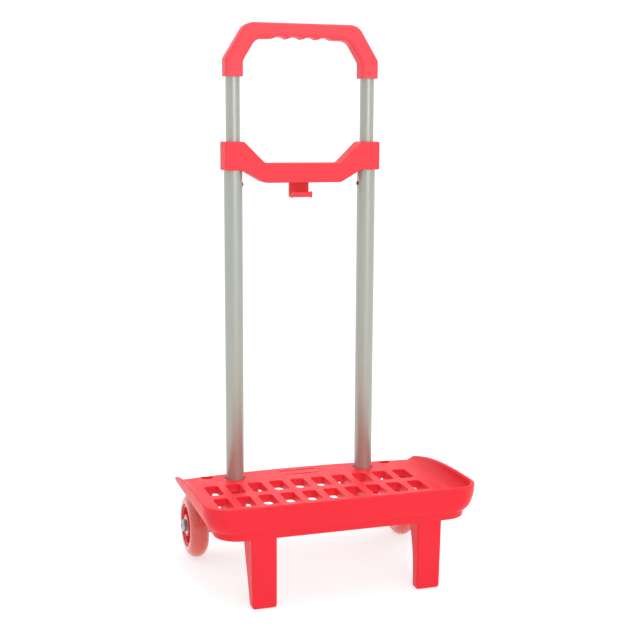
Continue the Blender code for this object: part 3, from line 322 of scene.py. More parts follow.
def tray_shell():
    """The bowl: underside, skirt, step, flared wall, rounded rim, scoop and deck, in one run of rings."""
    corner, crease_x = 0.028, 0.143
    outer = level(skirt_x, skirt_y, rear_y, corner)
    ledge = level(skirt_x + step_out, skirt_y - step_out, rear_y, corner)
    brim = level(skirt_x + step_out + flare_side, skirt_y - step_out - flare_front, rear_y, corner)
    lining = level(skirt_x - wall, skirt_y + wall, rear_y - wall, corner - wall)
    crease = level(crease_x, front_y + wall + 0.010, rear_y - 0.0032, corner - wall)
    corner_count, front_count, side_count = 13, 15, side_steps - 1
    rear_start = corner_count + front_count + corner_count + side_count
    rear_end = len(outer) - side_count
    end_y, end_rise, deck_rim, soft = -0.061, 0.0055, 0.0012, 0.0006
    rear_lip, side_lip, front_lip = 0.0020, 0.0046, 0.0036
    columns = []
    for i, (x, y) in enumerate(outer):
        share = (y - skirt_y) / (rear_y - skirt_y)
        step_in = i - rear_start
        if step_in < 0 or i >= rear_end:
            standing = 1.0
        elif step_in <= 5:
            standing = 1.0 - (step_in / 5) ** 2
        elif i >= rear_end - 6:
            standing = 1.0 - ((rear_end - 1 - i) / 5) ** 2
        else:
            standing = 0.0
        top = deck_z + (rim_z - deck_z - (rim_z - deck_z - deck_rim) * max(share, 0.0) ** 3.2) * standing
        thick = rear_lip + (side_lip if abs(x) > 0.14 else front_lip) * standing - rear_lip * standing
        bead = 0.0010 + 0.0008 * standing
        inner_bead = min(bead, 0.9 * (top - deck_z))
        low = skirt_z + max(0.0, y - end_y) / (rear_y - end_y) * end_rise
        here, out, far = Vector((x, y)), Vector(ledge[i]), Vector(brim[i])
        under, fold = Vector(lining[i]), Vector(crease[i])
        fold.x *= (0.147 - 0.009 * max(share, 0.0)) / crease_x
        before, after = Vector(outer[i - 1]), Vector(outer[(i + 1) % len(outer)])
        inward = Vector(((after - before).y, -(after - before).x)).normalized() * -1
        column = [(*under, deck_z - wall), (*under, low + soft), (*(under - inward * soft), low),
                  (*(here + inward * soft), low), (*here, low + soft), (*here, step_z - 0.0004),
                  (*(here - inward * 0.0002 * standing), step_z - 0.0001)]
        lean = math.acos(max(-1.0, 1 - (top - bead - step_z) / (rim_z - step_z)))
        for k in range(9):
            angle = lean * k / 8
            point = out.lerp(far, math.sin(angle))
            column.append((*point, step_z + (rim_z - step_z) * (1 - math.cos(angle))))
        edge = Vector(column[-1][:2])
        for k in range(1, 8):
            angle = math.radians(180 * k / 8)
            point = edge + inward * thick / 2 * (1 - math.cos(angle))
            drop = bead if angle < math.pi / 2 else inner_bead
            column.append((*point, top - drop + drop * math.sin(angle)))
        lip = edge + inward * thick
        lip_z = top - inner_bead
        for k in range(8, 0, -1):
            angle = math.radians(90 * k / 8)
            point = fold.lerp(lip, math.sin(angle))
            column.append((*point, deck_z + (lip_z - deck_z) * (1 - math.cos(angle))))
        column.append((*fold, deck_z))
        columns.append(column)
    return join_rings([[column[k] for column in columns] for k in range(len(columns[0]))])


def rounded(corners, steps=8):
    """An outline from corners (x, y, radius), each turned by an arc of that radius."""
    points = []
    for i, (x, y, radius) in enumerate(corners):
        here = Vector((x, y))
        before = Vector(corners[i - 1][:2]) - here
        after = Vector(corners[(i + 1) % len(corners)][:2]) - here
        if radius <= 0:
            points.append((x, y))
            continue
        half = before.angle(after) / 2
        reach = min(radius / math.tan(half), 0.48 * before.length, 0.48 * after.length)
        start, end = here + before.normalized() * reach, here + after.normalized() * reach
        bisector = (before.normalized() + after.normalized()).normalized()
        centre = here + bisector * reach / math.cos(half)
        sweep = (start - centre).angle_signed(end - centre)
        for k in range(steps + 1):
            points.append(tuple(centre + Matrix.Rotation(-sweep * k / steps, 2) @ (start - centre)))
    return points


def oblong(x, y, half_x, half_y, radius, steps=5):
    """A rectangle in plan with rounded corners."""
    return rounded([(x - half_x, y - half_y, radius), (x + half_x, y - half_y, radius),
                    (x + half_x, y + half_y, radius), (x - half_x, y + half_y, radius)], steps)


hole_pitch, hole_half_wide, hole_half_long, hole_corner = 0.02724, 0.00852, 0.01825, 0.0042
row_gap, first_row_gap = 0.0135, 0.0265
hole_rows = [upright_y - first_row_gap - hole_half_long - row * (2 * hole_half_long + row_gap)
             for row in range(3)]
hole_places = [((column - 4.5) * hole_pitch, y) for column in range(10) for y in hole_rows]


def hole_cutters():
    """The deck's holes, each with a rounded top edge."""
    cutters = []
    fillet, cut_below, cut_above = 0.0011, 0.014, 0.004
    sizes = [(0.0, deck_z - cut_below), (0.0, deck_z - fillet)]
    for k in range(1, 5):
        angle = math.radians(90 * k / 5)
        sizes.append((fillet * (1 - math.cos(angle)), deck_z - fillet * (1 - math.sin(angle))))
    sizes.append((sizes[-1][0], deck_z + cut_above))
    for x, y in hole_places:
        rings = []
        for grow, z in sizes:
            edge = oblong(x, y, hole_half_wide + grow, hole_half_long + grow, hole_corner + grow)
            rings.append([(px, py, z) for px, py in edge])
        cutters.append(join_rings(rings))
    return cutters


def upright_block(outline, low_z, high_z):
    """A plan outline given a height."""
    return join_rings([[(x, y, low_z) for x, y in outline], [(x, y, high_z) for x, y in outline]])


collar_width, collar_depth, rib_depth, socket_rib_depth = 0.0018, 0.0098, 0.0145, 0.033


def deck_collars():
    """A stiffening collar under each hole."""
    half_x, half_y = hole_half_wide + collar_width, hole_half_long + collar_width
    return together([upright_block(oblong(x, y, half_x, half_y, hole_corner + collar_width),
                                   deck_z - collar_depth, deck_middle_z) for x, y in hole_places])


def deck_ribs():
    """A rib along each side of the field of holes, and one from each socket inwards."""
    parts = []
    half_rib = 0.001
    last_y, first_y = hole_rows[-1] - hole_half_long, hole_rows[0] + hole_half_long
    for side in (-1, 1):
        x = side * (4.5 * hole_pitch + hole_half_wide + collar_width + 0.0007)
        parts.append(upright_block(oblong(x, (last_y + first_y) / 2, half_rib, (first_y - last_y) / 2, 0),
                                   deck_z - rib_depth, deck_middle_z))
        parts.append(upright_block(oblong(side * (upright_x - 0.0205), upright_y, 0.0095, half_rib, 0),
                                   deck_z - socket_rib_depth, deck_middle_z))
    return together(parts)


def along_x(outline, low_x, high_x):
    """A flat YZ outline given a thickness along X."""
    return join_rings([[(x, y, z) for y, z in outline] for x in (low_x, high_x)])


mount_outer_x, mount_inner_x, web_thickness, mount_radius = 0.1244, 0.0964, 0.0045, 0.012


def wheel_webs():
    """Two webs down to each axle."""
    low = turn_points((axle_y, axle_z), mount_radius, 200, 340, 20)
    outline = low + [(upright_y + 0.0205, deck_middle_z), (upright_y - 0.028, deck_middle_z)]
    webs = []
    for side in (-1, 1):
        for x in (mount_outer_x, mount_inner_x + web_thickness):
            webs.append(along_x(outline, side * (x - web_thickness), side * x))
    return together(webs)


def round_bar(centre, radius, start, end, axis, steps=48):
    """A plain bar along X, Y or Z from start to end."""
    circle = turn_points((0, 0), radius, 0, 360 - 360 / steps, steps - 1)
    rings = []
    for reach in (start, end):
        if axis == "X":
            rings.append([(reach, centre[0] + a, centre[1] + b) for a, b in circle])
        elif axis == "Y":
            rings.append([(centre[0] + a, reach, centre[1] + b) for a, b in circle])
        else:
            rings.append([(centre[0] + a, centre[1] + b, reach) for a, b in circle])
    return join_rings(rings)


leg_inner_x, leg_outer_x, leg_taper = 0.0842, 0.1142, 0.0018
leg_front_y = skirt_y - 0.00005
foot_depth, inner_top_depth, outer_top_depth = 0.013, 0.045, 0.042


def leg_depths(z):
    """How far the inner and the outer flank of a leg reach back at one height."""
    share = max(0.0, z / deck_middle_z)
    return (foot_depth + (inner_top_depth - foot_depth) * share ** 3.4,
            foot_depth + (outer_top_depth - foot_depth) * share)


def leg_solid(side):
    """The outside of a leg, closed at the back, with rounded front edges and a rounded foot."""
    rings = []
    foot_round, foot_tuck, front_round, back_round = 0.0032, 0.0016, 0.0022, 0.0006
    heights = [0.0, 0.0006, 0.0016, foot_round] + [0.006 + 0.0828 * i / 24 for i in range(25)]
    for z in heights:
        tuck = foot_tuck * (1 - math.sqrt(1 - (1 - min(z / foot_round, 1.0)) ** 2))
        inner_depth, outer_depth = leg_depths(z)
        low, high = leg_inner_x + tuck, leg_outer_x - leg_taper * (1 - z / deck_z) - tuck
        front = leg_front_y + tuck
        outline = rounded([(low, front, front_round), (high, front, front_round),
                           (high, leg_front_y + outer_depth - tuck, back_round),
                           (low, leg_front_y + inner_depth - tuck, back_round)], 6)
        rings.append([(side * x, y, z) for x, y in outline])
    return join_rings(rings)


def leg_channel(side):
    """The hollow of a leg, open at the back above its sole."""
    rings = []
    past_back = 0.06
    for i in range(13):
        z = wall + (deck_middle_z - 0.0005 - wall) * i / 12
        high = leg_outer_x - leg_taper * (1 - z / deck_z) - wall
        low = leg_inner_x + wall
        front = leg_front_y + wall
        back = front + past_back
        outline = rounded([(low, front, 0.001), (high, front, 0.001), (high, back, 0), (low, back, 0)], 4)
        rings.append([(side * x, py, z) for x, py in outline])
    return join_rings(rings)


def round_rings(centre, levels):
    """A turned piece on an upright axis: (radius, height) levels, 48 points round."""
    return join_rings([[(x, y, z) for x, y in turn_points(centre, radius, 0, 352.5, 47)]
                       for radius, z in levels])


fit_gap, bolt_hole_radius = 0.0003, 0.0042


def socket_bores():
    """A blind bore for each upright, with a shallow wider ring at the deck, and the holes for the axles."""
    bores = []
    bore = upright_radius + fit_gap
    for side in (-1, 1):
        bores.append(round_rings((side * upright_x, upright_y), [
            (bore, upright_low.z - fit_gap), (bore, deck_z - 0.0016),
            (upright_radius + 0.0015, deck_z - 0.0012), (upright_radius + 0.0017, deck_z + 0.004)]))
        bores.append(round_bar((axle_y, axle_z), bolt_hole_radius, side * 0.090, side * 0.130, "X", 32))
    return together(bores)


def deck_openings():
    """The holes, the slots between the uprights and the half-round notches against the rear wall."""
    openings = hole_cutters()
    slot_half_long, slot_half_wide = 0.02375, 0.0016
    notch_x, notch_half_wide, notch_depth = 0.1183, 0.0078, 0.010
    low, high = deck_z - 0.008, deck_z + 0.004
    for y in (upright_y + 0.0095, upright_y - 0.0065):
        outline = oblong(0, y, slot_half_long, slot_half_wide, slot_half_wide)
        openings.append(upright_block(outline, low, high))
    back_y = rear_y - rear_bow * (notch_x / skirt_x) ** 2 - wall
    half_turn = turn_points((0, 0), notch_half_wide, 180, 360, 16)
    for side in (-1, 1):
        arch = [(side * notch_x + x, back_y + y * notch_depth / notch_half_wide) for x, y in half_turn]
        openings.append(upright_block(arch, low, high))
    return together(openings)


def middle(node):
    """The centre of a piece's box in the frame."""
    low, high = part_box(node)
    return (low + high) / 2


screw_hole_radius = 0.0021


def screw_holes(z, start, end):
    """A hole for a screw through the back of each side, at one height."""
    return together([round_bar((side * upright_x, z), screw_hole_radius, start, end, "Y", 24)
                     for side in (-1, 1)])


socket_radius, socket_foot_z = 0.014, 0.058
sockets = together([round_bar((side * upright_x, upright_y), socket_radius, socket_foot_z, deck_middle_z,
                              "Z", 64) for side in (-1, 1)])
bosses = together([round_bar((axle_y, axle_z), mount_radius, side * mount_inner_x, side * mount_outer_x, "X")
                   for side in (-1, 1)])
mounts = shaped(sockets, ("UNION", wheel_webs()), ("UNION", bosses))
legs = shaped(together([leg_solid(-1), leg_solid(1)]),
              ("DIFFERENCE", together([leg_channel(-1), leg_channel(1)])))
tray_mesh = shaped(tray_shell(), ("UNION", deck_collars()), ("UNION", deck_ribs()), ("UNION", mounts),
                   ("UNION", legs), ("DIFFERENCE", deck_openings()), ("DIFFERENCE", socket_bores()),
                   ("DIFFERENCE", screw_holes(middle("socket_screw_left").z, upright_y, upright_y + 0.02)))
fit("moulded_tray", tray_mesh, tray_coral, "trolley", ["tray_platform"])

# ------------------------------------------------------------------ the uprights
# Two 22 mm aluminium tubes with a satin, faintly champagne finish, drawn, brushed along their length and
# pressed into the tray's sockets. The top of each carries a nylon bush that guides the inner tube.


def satin_tube():
    """Anodised aluminium: long fine draw lines, small changes of shade, a soft sheen."""
    finish = Finish("satin aluminium tube", Metallic=0.5)
    lines = finish.noise(1.0, 3.0, 0.6, stretch=(900.0, 900.0, 6.0))
    finish.colour(lines, (0.37, 0.378, 0.330), (0.46, 0.468, 0.415))
    finish.roughness(finish.noise(35.0, 2.0), 0.33, 0.42, 0.3, 0.7)
    finish.relief(lines, 0.12, 0.0001)
    return finish.material


tube_finish = satin_tube()


def lathe(profile, centre, axis="Z", way=1, steps=64, hollow=True):
    """A turned piece: (radius, height) points, spun about a line through centre, height along the axis."""
    rings = []
    for radius, height in profile:
        ring = []
        for i in range(steps):
            angle = math.tau * i / steps
            a, b = radius * math.cos(angle), radius * math.sin(angle)
            if axis == "Z":
                ring.append((centre[0] + a, centre[1] + b, centre[2] + way * height))
            elif axis == "X":
                ring.append((centre[0] + way * height, centre[1] + a, centre[2] + b))
            else:
                ring.append((centre[0] + a, centre[1] + way * height, centre[2] + b))
        rings.append(ring)
    return join_rings(rings, hollow)


def tube_profile(bore, radius, low, high, lip=0.0003):
    """A tube's section with its ends broken by a small round."""
    return [(bore, low + lip), (bore + lip, low), (radius - lip, low), (radius, low + lip),
            (radius, high - lip), (radius - lip, high), (bore + lip, high), (bore, high - lip)]


sides = {"left": -1, "right": 1}
tube_wall, button_hole_radius = 0.001, 0.0027
button_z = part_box("snap_clip_left")[0].z + 0.0048
for name, side in sides.items():
    low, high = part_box("outer_tube_" + name)
    x = side * upright_x
    section = tube_profile(upright_radius - tube_wall, upright_radius, low.z, high.z)
    tube = lathe(section, (x, upright_y, 0), steps=96)
    holes = [round_bar((upright_y, button_z), button_hole_radius, x, x - side * 0.015, "X", 24)]
    for screw in ("bracket_screw_", "socket_screw_"):
        place = (x, middle(screw + name).z)
        holes.append(round_bar(place, screw_hole_radius, upright_y, upright_y + 0.015, "Y", 20))
    fit("upright_tube_" + name, shaped(tube, ("DIFFERENCE", together(holes))), tube_finish,
        "trolley", ["outer_tube_" + name])

# ------------------------------------------------------------------ the guide bushes
# Black nylon sleeves pushed into the top of each upright, with a thin flange on the tube's end.


def black_nylon():
    """Moulded black nylon: matt, with a fine grain."""
    finish = Finish("black nylon")
    grain = finish.noise(900.0, 3.0)
    finish.colour(grain, (0.012, 0.012, 0.013), (0.035, 0.035, 0.037))
    finish.roughness(grain, 0.42, 0.62)
    finish.relief(grain, 0.15, 0.0001)
    return finish.material


nylon = black_nylon()
for name, side in sides.items():
    low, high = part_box("guide_bush_" + name)
    outer, bore = 0.0097, 0.0088
    flange = high.z - 0.0020
    section = [(bore, low.z + 0.0004), (bore + 0.0003, low.z), (outer - 0.0003, low.z),
               (outer, low.z + 0.0004), (outer, flange), (upright_radius - 0.0002, flange),
               (upright_radius, flange + 0.0003), (upright_radius, high.z - 0.0004),
               (upright_radius - 0.0004, high.z), (bore + 0.0005, high.z), (bore, high.z - 0.0005)]
    fit("nylon_bush_" + name, lathe(section, (side * upright_x, upright_y, 0)), nylon,
        "trolley", ["guide_bush_" + name])

# ------------------------------------------------------------------ the cross bracket and its hook
# One coral moulding that clamps both uprights: a block round each tube, slanted arms, a low bar that is
# hollow behind, and a hook under the middle of the bar for a bag's loop.
block_height, bar_half = 0.034, 0.048
block_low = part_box("cross_bracket")[1].z - block_height
bracket_coral = coral_plastic("coral bracket plastic", (0.77, 0.050, 0.066), (0.84, 0.064, 0.082), 0.06)


def inset_outline(outline, inset):
    """The same anticlockwise outline, moved inwards."""
    points = [Vector(point) for point in outline]
    moved = []
    for i, here in enumerate(points):
        along = (here - points[i - 1]).normalized()
        onward = (points[(i + 1) % len(points)] - here).normalized()
        inward = (along + onward).orthogonal().normalized()
        moved.append(here + inward * inset / max(along.orthogonal().dot(inward), 0.3))
    return moved


def cushion(outline, thickness, edge, steps, inset=inset_outline):
    """A front-view outline given a thickness along Y, its front and back edges rounded over."""
    half = []
    for i in range(steps + 1):
        angle = math.radians(90 * i / steps)
        half.append((edge * (1 - math.sin(angle)), thickness / 2 - edge * (1 - math.cos(angle))))
    levels = [(pull, -depth) for pull, depth in half] + half[::-1]
    return join_rings([[(x, -depth, z) for x, z in inset(outline, pull)] for pull, depth in levels])


def moved(mesh, shift):
    """The same mesh, shifted."""
    mesh.transform(Matrix.Translation(shift))
    return mesh


def mirrored(right):
    """The left half of a front-view outline, from its right half."""
    return [(-x, z, radius) for x, z, radius in reversed(right)]


def bracket_blank():
    """The bracket in front view, from the foot of its blocks: (x, z, radius) at each corner."""
    end, inner = upright_x + 0.0128, upright_x - 0.011
    right = [(bar_half, -0.015, 0.012), (inner, 0, 0.003), (end, 0, 0.0016), (end, block_height, 0.0016),
             (inner, block_height, 0.005), (bar_half, 0.0085, 0.008)]
    return cushion(rounded(right + mirrored(right), 8), 0.0266, 0.0012, 4)


def bracket_hollow():
    """The recess in the back of the bar and the arms."""
    reach = upright_x - 0.017
    run = (reach - bar_half) / (upright_x - 0.011 - bar_half)
    low, high = -0.0114, 0.00415
    right = [(bar_half, low, 0.004), (reach, low + 0.015 * run, 0.001),
             (reach, high + 0.0255 * run, 0.001), (bar_half, high, 0.004)]
    outline = rounded(right + mirrored(right), 4)
    return join_rings([[(x, y, z) for x, z in outline] for y in (-0.0103, 0.020)])


def bag_hook():
    """A tab down from the back of the bar, a shelf forward and a raised tip, with softened edges."""
    back, front, low, top, thick, root = 0.011, -0.008, -0.033, -0.0265, 0.004, -0.0135
    outline = rounded([(back, root, 0), (back - thick, root, 0), (back - thick, low + thick, 0.0015),
                       (front + thick, low + thick, 0.0012), (front + thick, top, 0.0012),
                       (front, top, 0.0012), (front, low, 0.002), (back, low, 0.002)], 5)
    half, edge = 0.012, 0.0008
    rings = []
    for depth, pull in ((-half, edge), (-half + edge * 0.3, edge * 0.3), (-half + edge, 0),
                        (half - edge, 0), (half - edge * 0.3, edge * 0.3), (half, edge)):
        rings.append([(depth, y, z) for y, z in inset_outline(outline[::-1], pull)])
    return join_rings(rings)


bracket_bores = together([round_rings((side * upright_x, 0), (
    (0.0113, -0.020), (0.0113, 0.0305), (0.0088, 0.0306), (0.0088, 0.0334), (0.0094, 0.040)))
    for side in (-1, 1)])
bracket_screw_z = 0.0085
bracket_mesh = shaped(bracket_blank(), ("DIFFERENCE", bracket_hollow()), ("UNION", bag_hook()),
                      ("DIFFERENCE", bracket_bores),
                      ("DIFFERENCE", screw_holes(bracket_screw_z, 0.0, 0.02)))
fit("bracket_with_hook", moved(bracket_mesh, (0, upright_y, block_low)), bracket_coral,
    "trolley", ["cross_bracket"])

# ------------------------------------------------------------------ the inner tubes and their feet
# 17 mm tubes in the same satin finish, which slide in the bushes with the handle on top. A black nylon foot
# in the lower end keeps each one straight in its upright.
inner_wall, axis_gap = 0.0012, 0.0001
for name, side in sides.items():
    low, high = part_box("inner_tube_" + name)
    x, radius = side * upright_x, (high.x - low.x) / 2
    tube = lathe(tube_profile(radius - inner_wall, radius, low.z, high.z), (x, upright_y, 0), steps=96)
    place = (x, middle("grip_screw_" + name).z)
    holes = together([round_bar((upright_y, button_z), button_hole_radius, x, x - side * 0.013, "X", 24),
                      round_bar(place, screw_hole_radius, upright_y, upright_y + 0.013, "Y", 20)])
    fit("sliding_tube_" + name, shaped(tube, ("DIFFERENCE", holes)), tube_finish,
        "handle", ["inner_tube_" + name])
    low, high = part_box("inner_tube_foot_" + name)
    stem, collar, shoulder = 0.0070, (high.x - low.x) / 2, low.z + 0.010
    section = [(axis_gap, low.z), (collar - 0.0008, low.z), (collar, low.z + 0.0008),
               (collar, shoulder - 0.0003), (collar - 0.0003, shoulder), (stem, shoulder),
               (stem, high.z - 0.0006), (stem - 0.0006, high.z), (axis_gap, high.z)]
    fit("nylon_foot_" + name, lathe(section, (x, upright_y, 0), hollow=False), nylon,
        "handle", ["inner_tube_foot_" + name])

# ------------------------------------------------------------------ the grip
# A coral moulding over the top of both inner tubes, with slanted shoulders, well-rounded edges and four
# scallops for the fingers under its bar.
grip_low, grip_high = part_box("grip")
grip_coral = coral_plastic("coral grip plastic", (0.77, 0.062, 0.080), (0.84, 0.080, 0.100), 0.10)
grip_height = grip_high.z - grip_low.z


def grip_blank():
    """The grip in front view, from the foot of its legs, with four finger scallops under the bar."""
    outer, inner = upright_x + 0.011, upright_x - 0.011
    under, dip, bulge, finger = grip_height - 0.0192, 0.0036, 0.0005, 0.019
    right_outer = [(outer, 0, 0), (outer, 0.021, 0.008), (outer - 0.026, grip_height, 0.018)]
    right_inner = [(inner - 0.0156, under, 0.014), (inner, 0.018, 0.010), (inner, 0, 0)]
    fingers = []
    for i in range(65):
        x = -2 * finger + 4 * finger * i / 64
        arch = dip * (1 - (2 * ((x / finger) % 1.0) - 1) ** 2)
        fingers.append((x, under - bulge + math.hypot(arch, bulge * 2), 0))
    outline = rounded(right_outer + mirrored(right_outer) + mirrored(right_inner) + fingers + right_inner, 9)
    scallops = [i for i, (x, z) in enumerate(outline)
                if abs(x) < 2 * finger + 0.0001 and z < under + dip + 0.001]

    def pull_in(points, pull):
        """Inwards everywhere, but straight up in the scallops; the foot stays level."""
        ring = inset_outline(points, pull)
        for i in scallops:
            ring[i] = Vector((points[i][0], points[i][1] + pull))
        for i, (x, z) in enumerate(points):
            if z < 1e-6:
                ring[i].y = 0.0
        return ring
    return cushion(outline, 0.024, 0.0052, 7, pull_in)


socket_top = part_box("inner_tube_left")[1].z - grip_low.z + fit_gap
grip_screw_z = middle("grip_screw_left").z - grip_low.z
grip_bores = together([round_rings((side * upright_x, 0), (
    (0.0096, -0.004), (0.0088, 0.0006), (0.0088, socket_top))) for side in (-1, 1)])
grip_mesh = shaped(grip_blank(), ("DIFFERENCE", grip_bores),
                   ("DIFFERENCE", screw_holes(grip_screw_z, 0.0, 0.02)))
fit("shaped_grip", moved(grip_mesh, (0, upright_y, grip_low.z)), grip_coral,
    "handle", ["grip"], 40)

# ------------------------------------------------------------------ the snap clips
# A leaf of blackened spring steel, folded like a hairpin inside each inner tube, carries a round button that
# snaps through both tubes. Inside the upright the button stays pressed in.


def spring_steel():
    """Oil-blackened spring steel with a thin sheen and a few bright rubs."""
    finish = Finish("blackened spring steel", Metallic=0.7)
    rub = finish.noise(420.0, 3.0)
    finish.colour(rub, (0.020, 0.020, 0.021), (0.075, 0.073, 0.070))
    finish.roughness(rub, 0.30, 0.5)
    return finish.material


spring_finish = spring_steel()
for name, side in sides.items():
    low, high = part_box("snap_clip_" + name)
    centre = Vector((side * upright_x, upright_y, 0))
    reach, leaf, half_leaf, turn, foot = 0.0063, 0.0006, 0.003, 0.0022, low.z
    bend = high.z - turn
    outline = ([(reach, foot)] + turn_points((0, bend), turn, 0, 180, 16)
               + [(-reach, foot), (-reach + leaf, foot)]
               + turn_points((0, bend), turn - leaf, 180, 0, 16) + [(reach - leaf, foot)])
    spring = join_rings([[(centre.x + x, centre.y + y, z) for x, z in outline]
                         for y in (-half_leaf, half_leaf)])
    bent = fit("clip_spring_" + name, spring, spring_finish, None, ["snap_clip_" + name])
    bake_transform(bent)
    button_radius, edge, root, shoulder, top = 0.0024, 0.0010, 0.0045, 0.0113, 0.01235
    dome = [(axis_gap, root), (button_radius, root)]
    for angle in range(0, 91, 15):
        turned = math.radians(angle)
        dome.append((button_radius - edge * (1 - math.cos(turned)), shoulder + edge * math.sin(turned)))
    dome.append((axis_gap, top))
    stud = lathe(dome, (centre.x, centre.y, button_z), "X", -side, 32, False)
    button = fit("clip_button_" + name, stud, spring_finish, name + "_button",
                 ["snap_clip_" + name])
    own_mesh(button)

# ------------------------------------------------------------------ the wheels
# A red core with a ball bearing on each side, and a tyre of clear red polyurethane cast round it. A bolt with
# a washer on each side carries the wheel beside the boss under the tray.


def clear_tyre():
    """Clear red polyurethane under a glossy skin, with a slightly scuffed tread."""
    finish = Finish("clear red polyurethane", Transmission_Weight=0.34, IOR=1.48, Coat_Weight=0.55,
                    Coat_Roughness=0.07)
    cloud = finish.noise(60.0, 3.0)
    finish.colour(cloud, (0.86, 0.10, 0.075), (0.92, 0.16, 0.12))
    finish.roughness(cloud, 0.18, 0.34, 0.3, 0.7)
    finish.relief(finish.noise(700.0, 2.0), 0.10, 0.0002)
    return finish.material


def red_core():
    """Red wheel plastic, a little glossy, with faint flow marks."""
    finish = Finish("red wheel core")
    flow = finish.noise(30.0, 3.0)
    finish.colour(flow, (0.68, 0.020, 0.026), (0.80, 0.032, 0.040))
    finish.roughness(flow, 0.28, 0.42)
    return finish.material


def bright_metal(name, dark, light, smoothest, roughest):
    """Plated or ground steel: cloudy plating, fine scratches."""
    finish = Finish(name, Metallic=1.0)
    cloud = finish.noise(260.0, 4.0)
    finish.colour(cloud, dark, light)
    finish.roughness(cloud, smoothest, roughest)
    finish.relief(cloud, 0.08, 0.0001)
    return finish.material


tyre_finish, core_finish = clear_tyre(), red_core()
zinc = bright_metal("zinc plated steel", (0.38, 0.38, 0.38), (0.52, 0.52, 0.51), 0.24, 0.42)
race_steel = bright_metal("ground bearing steel", (0.46, 0.46, 0.48), (0.58, 0.58, 0.60), 0.15, 0.30)


def tyre_section():
    """Half-round tread on square shoulders, down to the core."""
    half, bore, tyre_radius = 0.012, 0.0263, 0.040
    tread, shoulder = tyre_radius - half, 0.0012
    section = [(bore, 0.011), (tread - shoulder, 0.0114)]
    section += [(tread + half * math.cos(math.radians(a)), half * math.sin(math.radians(a)))
                for a in range(80, -81, -8)]
    return section + [(tread - shoulder, -0.0114), (bore, -0.011)]


def core_section():
    """Rim, web and bearing seats of the core."""
    half, seat, web, rim, edge = 0.011, 0.0113, 0.004, 0.0225, 0.026
    boss, soft, spacer_radius, seat_half = seat + 0.0025, 0.0005, 0.0061, 0.0037
    outer = [(seat, half - soft), (seat + soft, half), (boss - soft, half), (boss, half - soft),
             (boss, web + soft), (boss + soft, web), (rim - soft, web), (rim, web + soft),
             (rim, half - 0.0015), (rim + soft, half - 0.001), (edge - soft, half - 0.001),
             (edge, half - 0.0015)]
    bore = [(seat, -seat_half), (spacer_radius, -seat_half), (spacer_radius, seat_half), (seat, seat_half)]
    return outer + [(radius, -height) for radius, height in reversed(outer)] + bore


def bearing_section():
    """Two races with a shield set in between them on each face."""
    half, soft, set_in = 0.0035, 0.0003, 0.0005
    face = [(0.0040, half - soft), (0.0043, half), (0.0060, half), (0.0062, half - 0.0004),
            (0.0064, half - set_in), (0.0092, half - set_in), (0.0094, half - 0.0004), (0.0096, half),
            (0.0107, half), (0.0110, half - soft)]
    return face + [(radius, -height) for radius, height in reversed(face)]


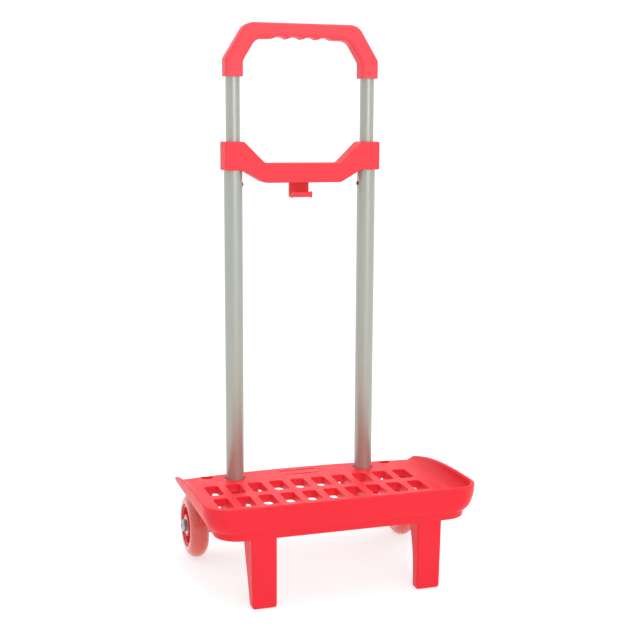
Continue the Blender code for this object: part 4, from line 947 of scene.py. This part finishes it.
bolt_bore, washer_radius, half_washer, half_sleeve, fine_lip = 0.0042, 0.0080, 0.0006, 0.0037, 0.0002
sleeve_section = tube_profile(0.0040, 0.0058, -half_sleeve, half_sleeve, fine_lip)
washer_section = tube_profile(bolt_bore, washer_radius, -half_washer, half_washer, fine_lip)
for name, side in sides.items():
    body = name + "_wheel"
    for piece, section, finish, slot, node, steps, crease in (
            ("clear_tyre_", tyre_section(), tyre_finish, "clear_tyre", "tyre_", 128, 30),
            ("wheel_core_", core_section(), core_finish, "red_core", "wheel_hub_", 96, 50),
            ("outer_race_", bearing_section(), race_steel, "bearing_steel", "outer_bearing_", 72, 40),
            ("inner_race_", bearing_section(), race_steel, "bearing_steel", "inner_bearing_", 72, 40),
            ("spacer_sleeve_", sleeve_section, zinc, "zinc", "bearing_spacer_", 48, 40)):
        mesh = lathe(section, middle(node + name), "X", side, steps)
        fit(piece + name, mesh, finish, body, [node + name], crease)
    for piece, node in (("outside_washer_", "outer_washer_"), ("inside_washer_", "inner_washer_")):
        fit(piece + name, lathe(washer_section, middle(node + name), "X", side, 72), zinc,
            "trolley", [node + name], 40)

    bolt_low, bolt_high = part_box("axle_bolt_" + name)
    tip, head_top = sorted((abs(bolt_low.x), abs(bolt_high.x)))
    shank_radius, head_radius, brim, crown, key_radius = 0.0039, 0.0076, 0.0012, 0.0032, 0.0029
    seat = head_top - brim - crown
    profile = [(axis_gap, tip), (shank_radius - 0.0005, tip), (shank_radius, tip + 0.0006),
               (shank_radius, seat), (head_radius - 0.0003, seat), (head_radius, seat + 0.0003),
               (head_radius, seat + brim)]
    for angle in range(10, 86, 8):
        turned = math.radians(angle)
        radius = head_radius * math.cos(turned) ** 0.8 + axis_gap
        profile.append((radius, seat + brim + crown * math.sin(turned)))
    profile.append((axis_gap, head_top))
    bolt = lathe(profile, (0, axle_y, axle_z), "X", side, 64, False)
    recess = round_bar((axle_y, axle_z), key_radius, side * (seat + 0.0004), side * (head_top + 0.002),
                       "X", 6)
    fit("wheel_bolt_" + name, shaped(bolt, ("DIFFERENCE", recess)), zinc,
        "trolley", ["axle_bolt_" + name], 35)

    nut_low, nut_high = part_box("lock_nut_" + name)
    near, far = sorted((abs(nut_low.x), abs(nut_high.x)))
    corners = turn_points((0, 0), 0.0075, 0, 300, 5)
    faces = ((near + 0.0024, 0.96), (near + 0.0029, 1.0), (far - 0.0006, 1.0), (far, 0.95))
    hexagon = join_rings([[(side * x, axle_y + a * pull, axle_z + b * pull) for a, b in corners]
                          for x, pull in faces])
    collar_radius, collar_end = 0.0058, far - 0.001
    collar = lathe([(axis_gap, near), (collar_radius - 0.0006, near), (collar_radius, near + 0.0007),
                    (collar_radius, collar_end), (axis_gap, collar_end)],
                   (0, axle_y, axle_z), "X", side, 48, False)
    nut_bore = round_bar((axle_y, axle_z), bolt_bore, side * (near - 0.002), side * (far + 0.002), "X", 32)
    fit("locking_nut_" + name, shaped(hexagon, ("UNION", collar), ("DIFFERENCE", nut_bore)), zinc,
        "trolley", ["lock_nut_" + name], 30)

# ------------------------------------------------------------------ the small screws
# Cross-headed pan screws in zinc plate. They go in from the back: one through each socket, one through each
# end of the bracket and one through each leg of the grip.
arm, half_slot, slot_depth = 0.0019, 0.0004, 0.0011
cross = [(arm, half_slot), (half_slot, half_slot), (half_slot, arm), (-half_slot, arm),
         (-half_slot, half_slot), (-arm, half_slot), (-arm, -half_slot), (-half_slot, -half_slot),
         (-half_slot, -arm), (half_slot, -arm), (half_slot, -half_slot), (arm, -half_slot)]
shank, pan, pan_height = 0.0018, 0.0036, 0.0022
screw_bodies = {"socket_screw_": "trolley", "bracket_screw_": "trolley", "grip_screw_": "handle"}
for name, side in sides.items():
    for screw, body in screw_bodies.items():
        low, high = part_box(screw + name)
        seat_y, end_y = high.y - pan_height, low.y
        x, z = side * upright_x, (low.z + high.z) / 2
        section = [(axis_gap, end_y), (shank, end_y + 0.0012), (shank, seat_y), (0.0035, seat_y),
                   (pan, seat_y + 0.0002), (pan, seat_y + 0.0007), (0.0034, seat_y + 0.0013),
                   (0.0028, seat_y + 0.0018), (0.0018, high.y - 0.0001), (axis_gap, high.y)]
        blank = lathe(section, (x, 0, z), "Y", 1, 48, False)
        slot = join_rings([[(x + a, y, z + b) for a, b in cross]
                           for y in (high.y - slot_depth, high.y + 0.002)])
        fit("pan_" + screw + name, shaped(blank, ("DIFFERENCE", slot)), zinc,
            body, [screw + name], 40)
